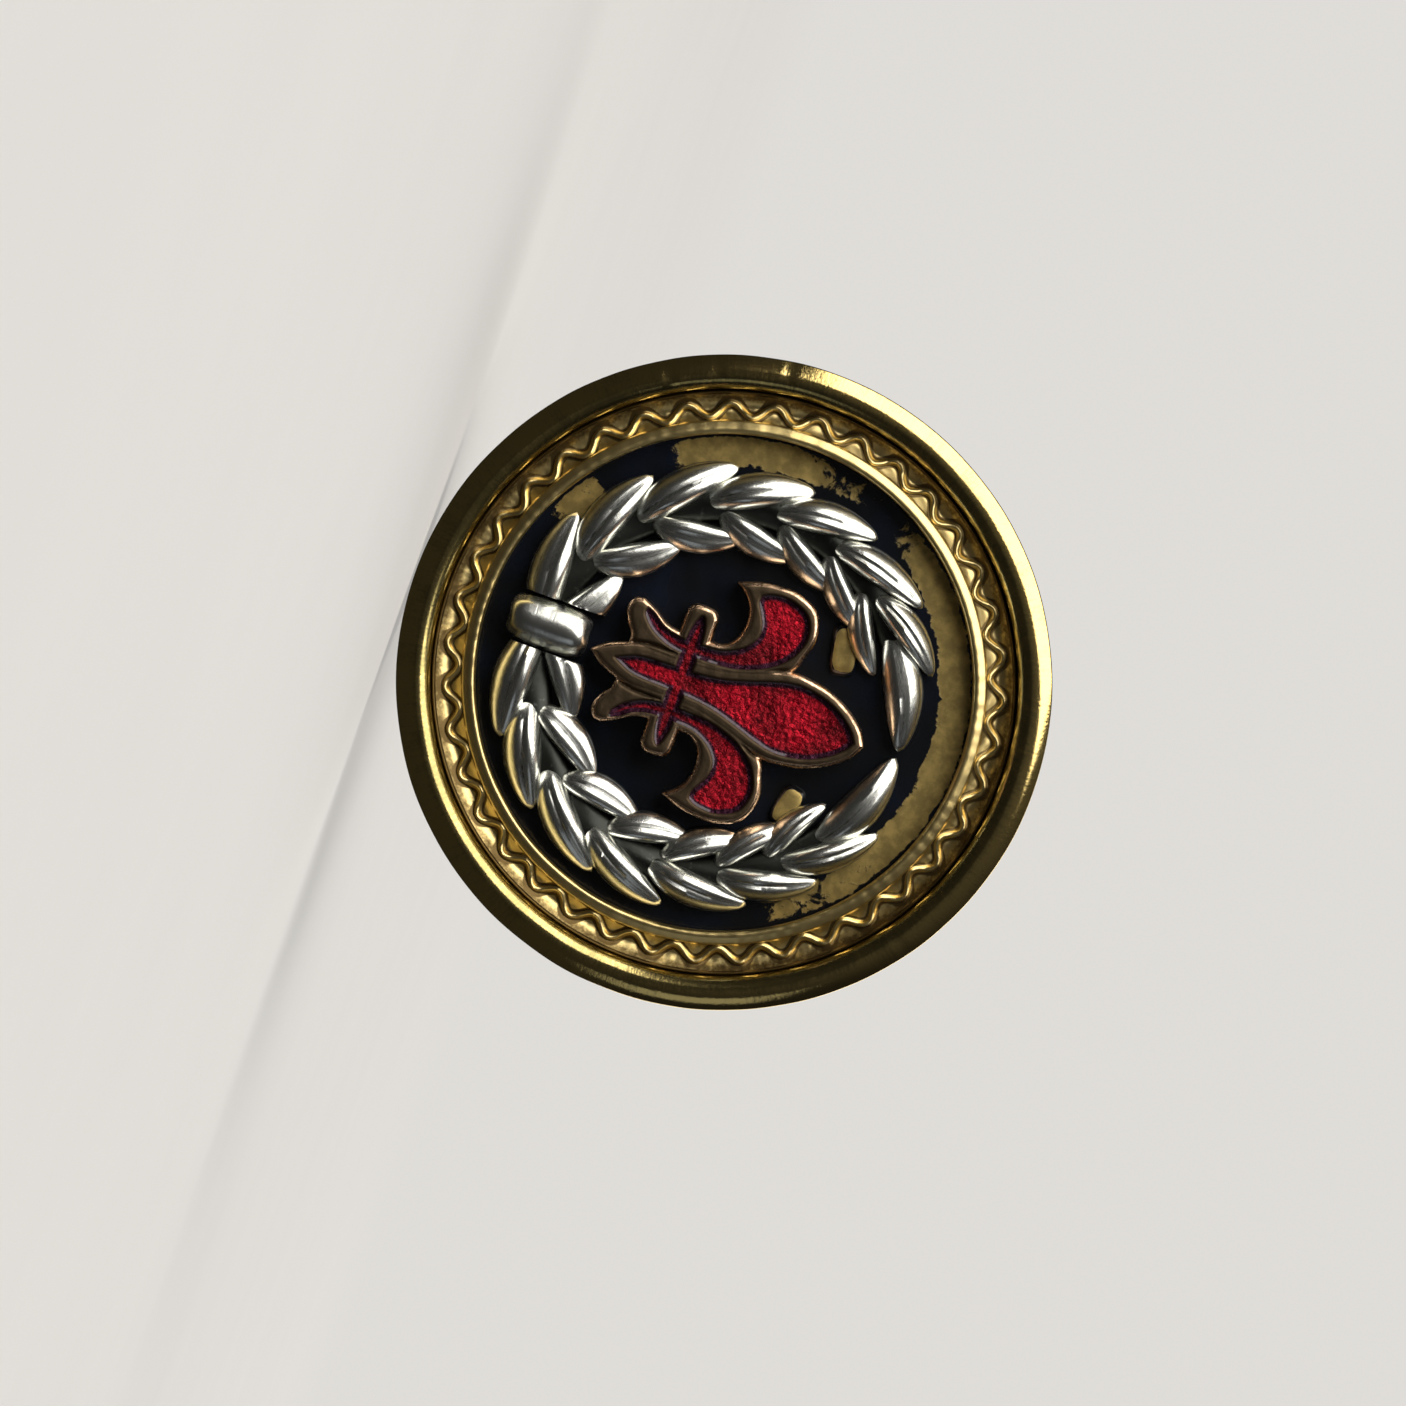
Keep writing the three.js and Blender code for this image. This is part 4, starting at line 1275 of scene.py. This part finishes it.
def nut_surface(settings):
    """A disc with a turned hub. Its edge radius is the crest less the knurl's depth times
    1 - |sin(knurls a / 2)|^0.7, and less of it towards the chamfers. Its bore is plain."""
    deep, knurls = settings.knurl_depth / MM, settings.knurls
    bore, crest, front, rear, hub_rear = 1.5, 7.0, -0.93, -2.53, -3.38
    edge = np.stack([np.full(7, crest), np.linspace(front - 0.35, rear + 0.35, 7)], -1)
    face = [[bore, front - 0.3], [1.62, front], [3.0, front], [6.65, front], [6.95, front - 0.3]]
    groove = [[6.95, rear + 0.3], [6.65, rear], [6.2, rear], [6.0, rear + 0.1], [5.6, rear + 0.1]]
    hub = [[5.4, rear], [3.6, rear], [3.3, hub_rear], [1.7, hub_rear], [bore, hub_rear + 0.2]]
    section = np.concatenate([rounded(face, 0.06), edge, rounded(groove + hub, 0.1, 4)])

    def knurled(r, d, a):
        wave = np.abs(np.sin(knurls * a / 2)) ** 0.7
        return np.where(r > 6.9, r - deep * (1 - wave) * eased(6.9, 6.99, r), r), d

    return turned_ring(section, knurls * 6, knurled)


# ------------------------------------------------------------------ stage


def floor_material(pale):
    """A pale matte floor whose far part fades into the surroundings' colour for the camera, and
    stays dim in reflections."""
    material, tree, shader, here = new_material("Pale floor")
    grain = noise(tree, here, 60.0, 4.0, 0.6)
    near = mixed(tree, grain, tuple(0.56 * c for c in pale), tuple(0.62 * c for c in pale))
    feed(tree, shader, {"Base Color": near, "Roughness": 0.9})
    radius = node(tree, "ShaderNodeVectorMath", {0: here}, operation="LENGTH").outputs["Value"]
    far = stepped(tree, radius, 0.09, 0.42)
    glow = node(tree, "ShaderNodeEmission", {"Color": (*pale, 1.0), "Strength": 1.0})
    lift = node(tree, "ShaderNodeEmission", {"Color": (*pale, 1.0), "Strength": 0.52})
    matte = node(tree, "ShaderNodeAddShader", {0: shader.outputs[0], 1: lift.outputs[0]})
    seen = node(tree, "ShaderNodeMixShader", {0: far, 1: matte.outputs[0], 2: glow.outputs[0]})
    dim = node(tree, "ShaderNodeEmission", {"Color": (*pale, 1.0), "Strength": 0.03})
    camera_ray = node(tree, "ShaderNodeLightPath").outputs["Is Camera Ray"]
    both = node(tree, "ShaderNodeMixShader", {0: camera_ray, 1: dim.outputs[0], 2: seen.outputs[0]})
    output = next(n for n in tree.nodes if n.type == "OUTPUT_MATERIAL")
    tree.links.new(both.outputs[0], output.inputs[0])
    return material


def make_world(pale):
    """Surroundings that are pale to the camera, and for everything else a dim room that is lighter
    towards the window's side."""
    world = bpy.data.worlds.new("Studio")
    world.use_nodes = True
    tree = world.node_tree
    tree.nodes.clear()
    way = tree.nodes.new("ShaderNodeTexCoord").outputs["Generated"]
    facing = node(tree, "ShaderNodeVectorMath", {0: way, 1: (-0.75, -0.5, 0.43)}, operation="DOT_PRODUCT")
    lift = stepped(tree, facing.outputs["Value"], -0.2, 1.0)
    room = mixed(tree, lift, (0.012, 0.012, 0.013), (0.070, 0.068, 0.066))
    dim = node(tree, "ShaderNodeBackground", {"Color": room, "Strength": 1.0})
    seen = node(tree, "ShaderNodeBackground", {"Color": (*pale, 1.0), "Strength": 1.0})
    camera_ray = node(tree, "ShaderNodeLightPath").outputs["Is Camera Ray"]
    both = node(tree, "ShaderNodeMixShader", {0: camera_ray, 1: dim.outputs[0], 2: seen.outputs[0]})
    output = node(tree, "ShaderNodeOutputWorld")
    tree.links.new(both.outputs[0], output.inputs[0])
    return world


def look_from(position, target, up):
    """A matrix that puts a camera or light at a position, looking at a target."""
    position, target, up = Vector(position), Vector(target), Vector(up)
    ahead = (target - position).normalized()
    right = ahead.cross(up).normalized()
    over = right.cross(ahead)
    turn = Matrix((right, over, -ahead)).transposed().to_4x4()
    return Matrix.Translation(position) @ turn


def add_light(name, way, distance, size, power, colour_rgb):
    """An area light in a direction from the badge, turned towards it."""
    data = bpy.data.lights.new(name, "AREA")
    data.shape = "RECTANGLE"
    data.size, data.size_y = size
    data.energy = power
    data.color = colour_rgb
    lamp = bpy.data.objects.new(name, data)
    bpy.context.scene.collection.objects.link(lamp)
    way = Vector(way).normalized()
    lamp.matrix_world = look_from(way * distance, (0, 0, 0), (0, -1, 0))


# ------------------------------------------------------------------ operators


class BADGE_OT_rim(bpy.types.Operator):
    """Make the rolled rim"""

    bl_idname = "cap_badge.rim"
    bl_label = "Rim"

    def execute(self, context):
        shape = rim_surface(context.scene.cap_badge.rim)
        add_piece("rolled_rim", shape, finish("Aged brass"), ["rim_shell"])
        return {"FINISHED"}


class BADGE_OT_border(bpy.types.Operator):
    """Make the struck border with its sinuous ridge"""

    bl_idname = "cap_badge.border"
    bl_label = "Border"

    def execute(self, context):
        shape = border_surface(context.scene.cap_badge.border)
        add_piece("struck_border", shape, finish("Struck brass"), ["border_ring"])
        return {"FINISHED"}


class BADGE_OT_field(bpy.types.Operator):
    """Make the lacquered field and its two tablets"""

    bl_idname = "cap_badge.field"
    bl_label = "Field"

    def execute(self, context):
        settings = context.scene.cap_badge.field
        turn = math.radians(12)
        tablets = [
            tablet_surface(-2.85, 4.05, -turn, (2.2, 1.2), 3.22),
            tablet_surface(3.75, 4.02, turn, (1.8, 1.05), 3.16),
        ]
        shape = joined([field_surface(settings), *tablets])
        add_piece("lacquered_field", shape, finish("Black lacquer"), ["field_plate"])
        return {"FINISHED"}


class BADGE_OT_wreath(bpy.types.Operator):
    """Make the two sprays of the wreath, their tie and their pins' finish"""

    bl_idname = "cap_badge.wreath"
    bl_label = "Wreath"

    def execute(self, context):
        settings = context.scene.cap_badge.wreath
        silver = finish("Old silver")
        for name, side in (("left", -1), ("right", 1)):
            shape = spray_surface(settings, side)
            nodes = [f"wreath_spray_{name}"]
            add_piece(f"laurel_spray_{name}", shape, silver, nodes, crease=50)
        add_piece("laurel_tie", tie_surface(), silver, ["wreath_tie"], crease=50)
        for k in (1, 2, 3):
            finish_node(f"wreath_pin_{k}", silver)
        return {"FINISHED"}


class BADGE_OT_lily(bpy.types.Operator):
    """Make the lily's bronze frame and the enamel in its cells"""

    bl_idname = "cap_badge.lily"
    bl_label = "Lily"

    def execute(self, context):
        settings = context.scene.cap_badge.lily
        bronze = finish("Copper bronze")
        shape = lily_frame_surface(settings)
        add_piece("lily_walls", shape, bronze, ["lily_frame"], crease=60)
        shape = lily_enamel_surface(settings)
        add_piece("lily_glass", shape, finish("Ruby enamel"), ["lily_enamel"], crease=60)
        for k in (1, 2):
            finish_node(f"lily_pin_{k}", bronze)
        return {"FINISHED"}


class BADGE_OT_back(bpy.types.Operator):
    """Make the back plate, the screw post and the locating pins, and finish the packing"""

    bl_idname = "cap_badge.back"
    bl_label = "Back"

    def execute(self, context):
        settings = context.scene.cap_badge.back
        plated = finish("Plated brass")
        add_piece("pressed_back", back_plate_surface(), plated, ["back_plate"])
        add_piece("threaded_post", post_surface(settings), plated, ["screw_post"])
        for name, x in (("left", -9.8), ("right", 9.8)):
            shape = locating_pin_surface(x)
            add_piece(f"cap_spike_{name}", shape, plated, [f"locating_pin_{name}"])
        finish_node("packing_disc", finish("Grey card"))
        return {"FINISHED"}


class BADGE_OT_nut(bpy.types.Operator):
    """Make the clamping washer and the knurled nut"""

    bl_idname = "cap_badge.nut"
    bl_label = "Nut and washer"

    def execute(self, context):
        settings = context.scene.cap_badge.back
        plated = finish("Plated brass")
        add_piece("captive_washer", washer_surface(), plated, ["clamp_washer"], body="washer")
        add_piece("knurled_nut", nut_surface(settings), plated, ["thumb_nut"], body="nut")
        return {"FINISHED"}


class BADGE_OT_stage(bpy.types.Operator):
    """Make the floor, the surroundings, the lights and the camera"""

    bl_idname = "cap_badge.stage"
    bl_label = "Stage"

    def execute(self, context):
        scene = context.scene
        settings = scene.cap_badge.stage
        pale = tuple(settings.pale)
        floor = bpy.data.meshes.new("floor")
        sides, reach, level = 96, settings.floor_radius, cad_box[0].z - 0.05 * MM
        angle = np.arange(sides) * FULL_TURN / sides
        rim = np.stack([reach * np.cos(angle), reach * np.sin(angle), np.full(sides, level)], -1)
        floor.from_pydata(rim.tolist(), [], [list(range(sides))])
        floor.materials.append(floor_material(pale))
        ground = bpy.data.objects.new("floor", floor)
        scene.collection.objects.link(ground)
        scene.world = make_world(pale)
        scene.view_settings.view_transform = "Standard"
        warm, cool = (1.0, 0.98, 0.95), (0.85, 0.92, 1.0)
        add_light("window", (-0.907 * 0.84, -0.54, 0.423 * 0.84), 0.5, (1.15, 0.55), 5.6, warm)
        add_light("fill", (0.75, -0.6, 0.1), 0.5, (0.3, 0.2), 0.05, cool)
        add_light("rear_window", (0.5, 0.82, 0.42), 0.6, (0.8, 0.5), 2.6, warm)
        camera = bpy.data.cameras.new("camera")
        camera.sensor_width = 36.0
        camera.lens = 36.0 * settings.distance / settings.view_width
        camera.clip_start = 0.01
        eye = bpy.data.objects.new("camera", camera)
        scene.collection.objects.link(eye)
        aside = math.radians(2)
        aim = Vector((1.03, -3.5, -0.51)) * MM
        place = aim + settings.distance * Vector((-math.sin(aside), -math.cos(aside), 0.0))
        eye.matrix_world = look_from(place, aim, (-0.940, 0.0, -0.342))
        scene.camera = eye
        return {"FINISHED"}


class BADGE_PT_panel(bpy.types.Panel):
    """Buttons that build the badge, with its sizes and colours"""

    bl_idname = "BADGE_PT_panel"
    bl_label = "Cap Badge"
    bl_space_type = "VIEW_3D"
    bl_region_type = "UI"
    bl_category = "Cap Badge"

    def draw(self, context):
        for step in STEPS:
            self.layout.operator(step.bl_idname)
        settings = context.scene.cap_badge
        for part in ("rim", "border", "field", "wreath", "lily", "back", "stage"):
            box = self.layout.box()
            box.label(text=part.capitalize())
            group_settings = getattr(settings, part)
            for name in group_settings.bl_rna.properties.keys():
                if name not in ("rna_type", "name"):
                    box.prop(group_settings, name)


STEPS = (
    BADGE_OT_rim,
    BADGE_OT_border,
    BADGE_OT_field,
    BADGE_OT_wreath,
    BADGE_OT_lily,
    BADGE_OT_back,
    BADGE_OT_nut,
    BADGE_OT_stage,
)
CLASSES = (
    RimSettings,
    BorderSettings,
    FieldSettings,
    WreathSettings,
    LilySettings,
    BackSettings,
    StageSettings,
    CapBadgeSettings,
    *STEPS,
    BADGE_PT_panel,
)


def register():
    for each in CLASSES:
        bpy.utils.register_class(each)
    bpy.types.Scene.cap_badge = PointerProperty(type=CapBadgeSettings)


def unregister():
    del bpy.types.Scene.cap_badge
    for each in reversed(CLASSES):
        bpy.utils.unregister_class(each)


def main():
    """Builds the badge and its stage."""
    register()
    bpy.ops.cap_badge.rim()
    bpy.ops.cap_badge.border()
    bpy.ops.cap_badge.field()
    bpy.ops.cap_badge.wreath()
    bpy.ops.cap_badge.lily()
    bpy.ops.cap_badge.back()
    bpy.ops.cap_badge.nut()
    bpy.ops.cap_badge.stage()


if __name__ == "__main__":
    main()
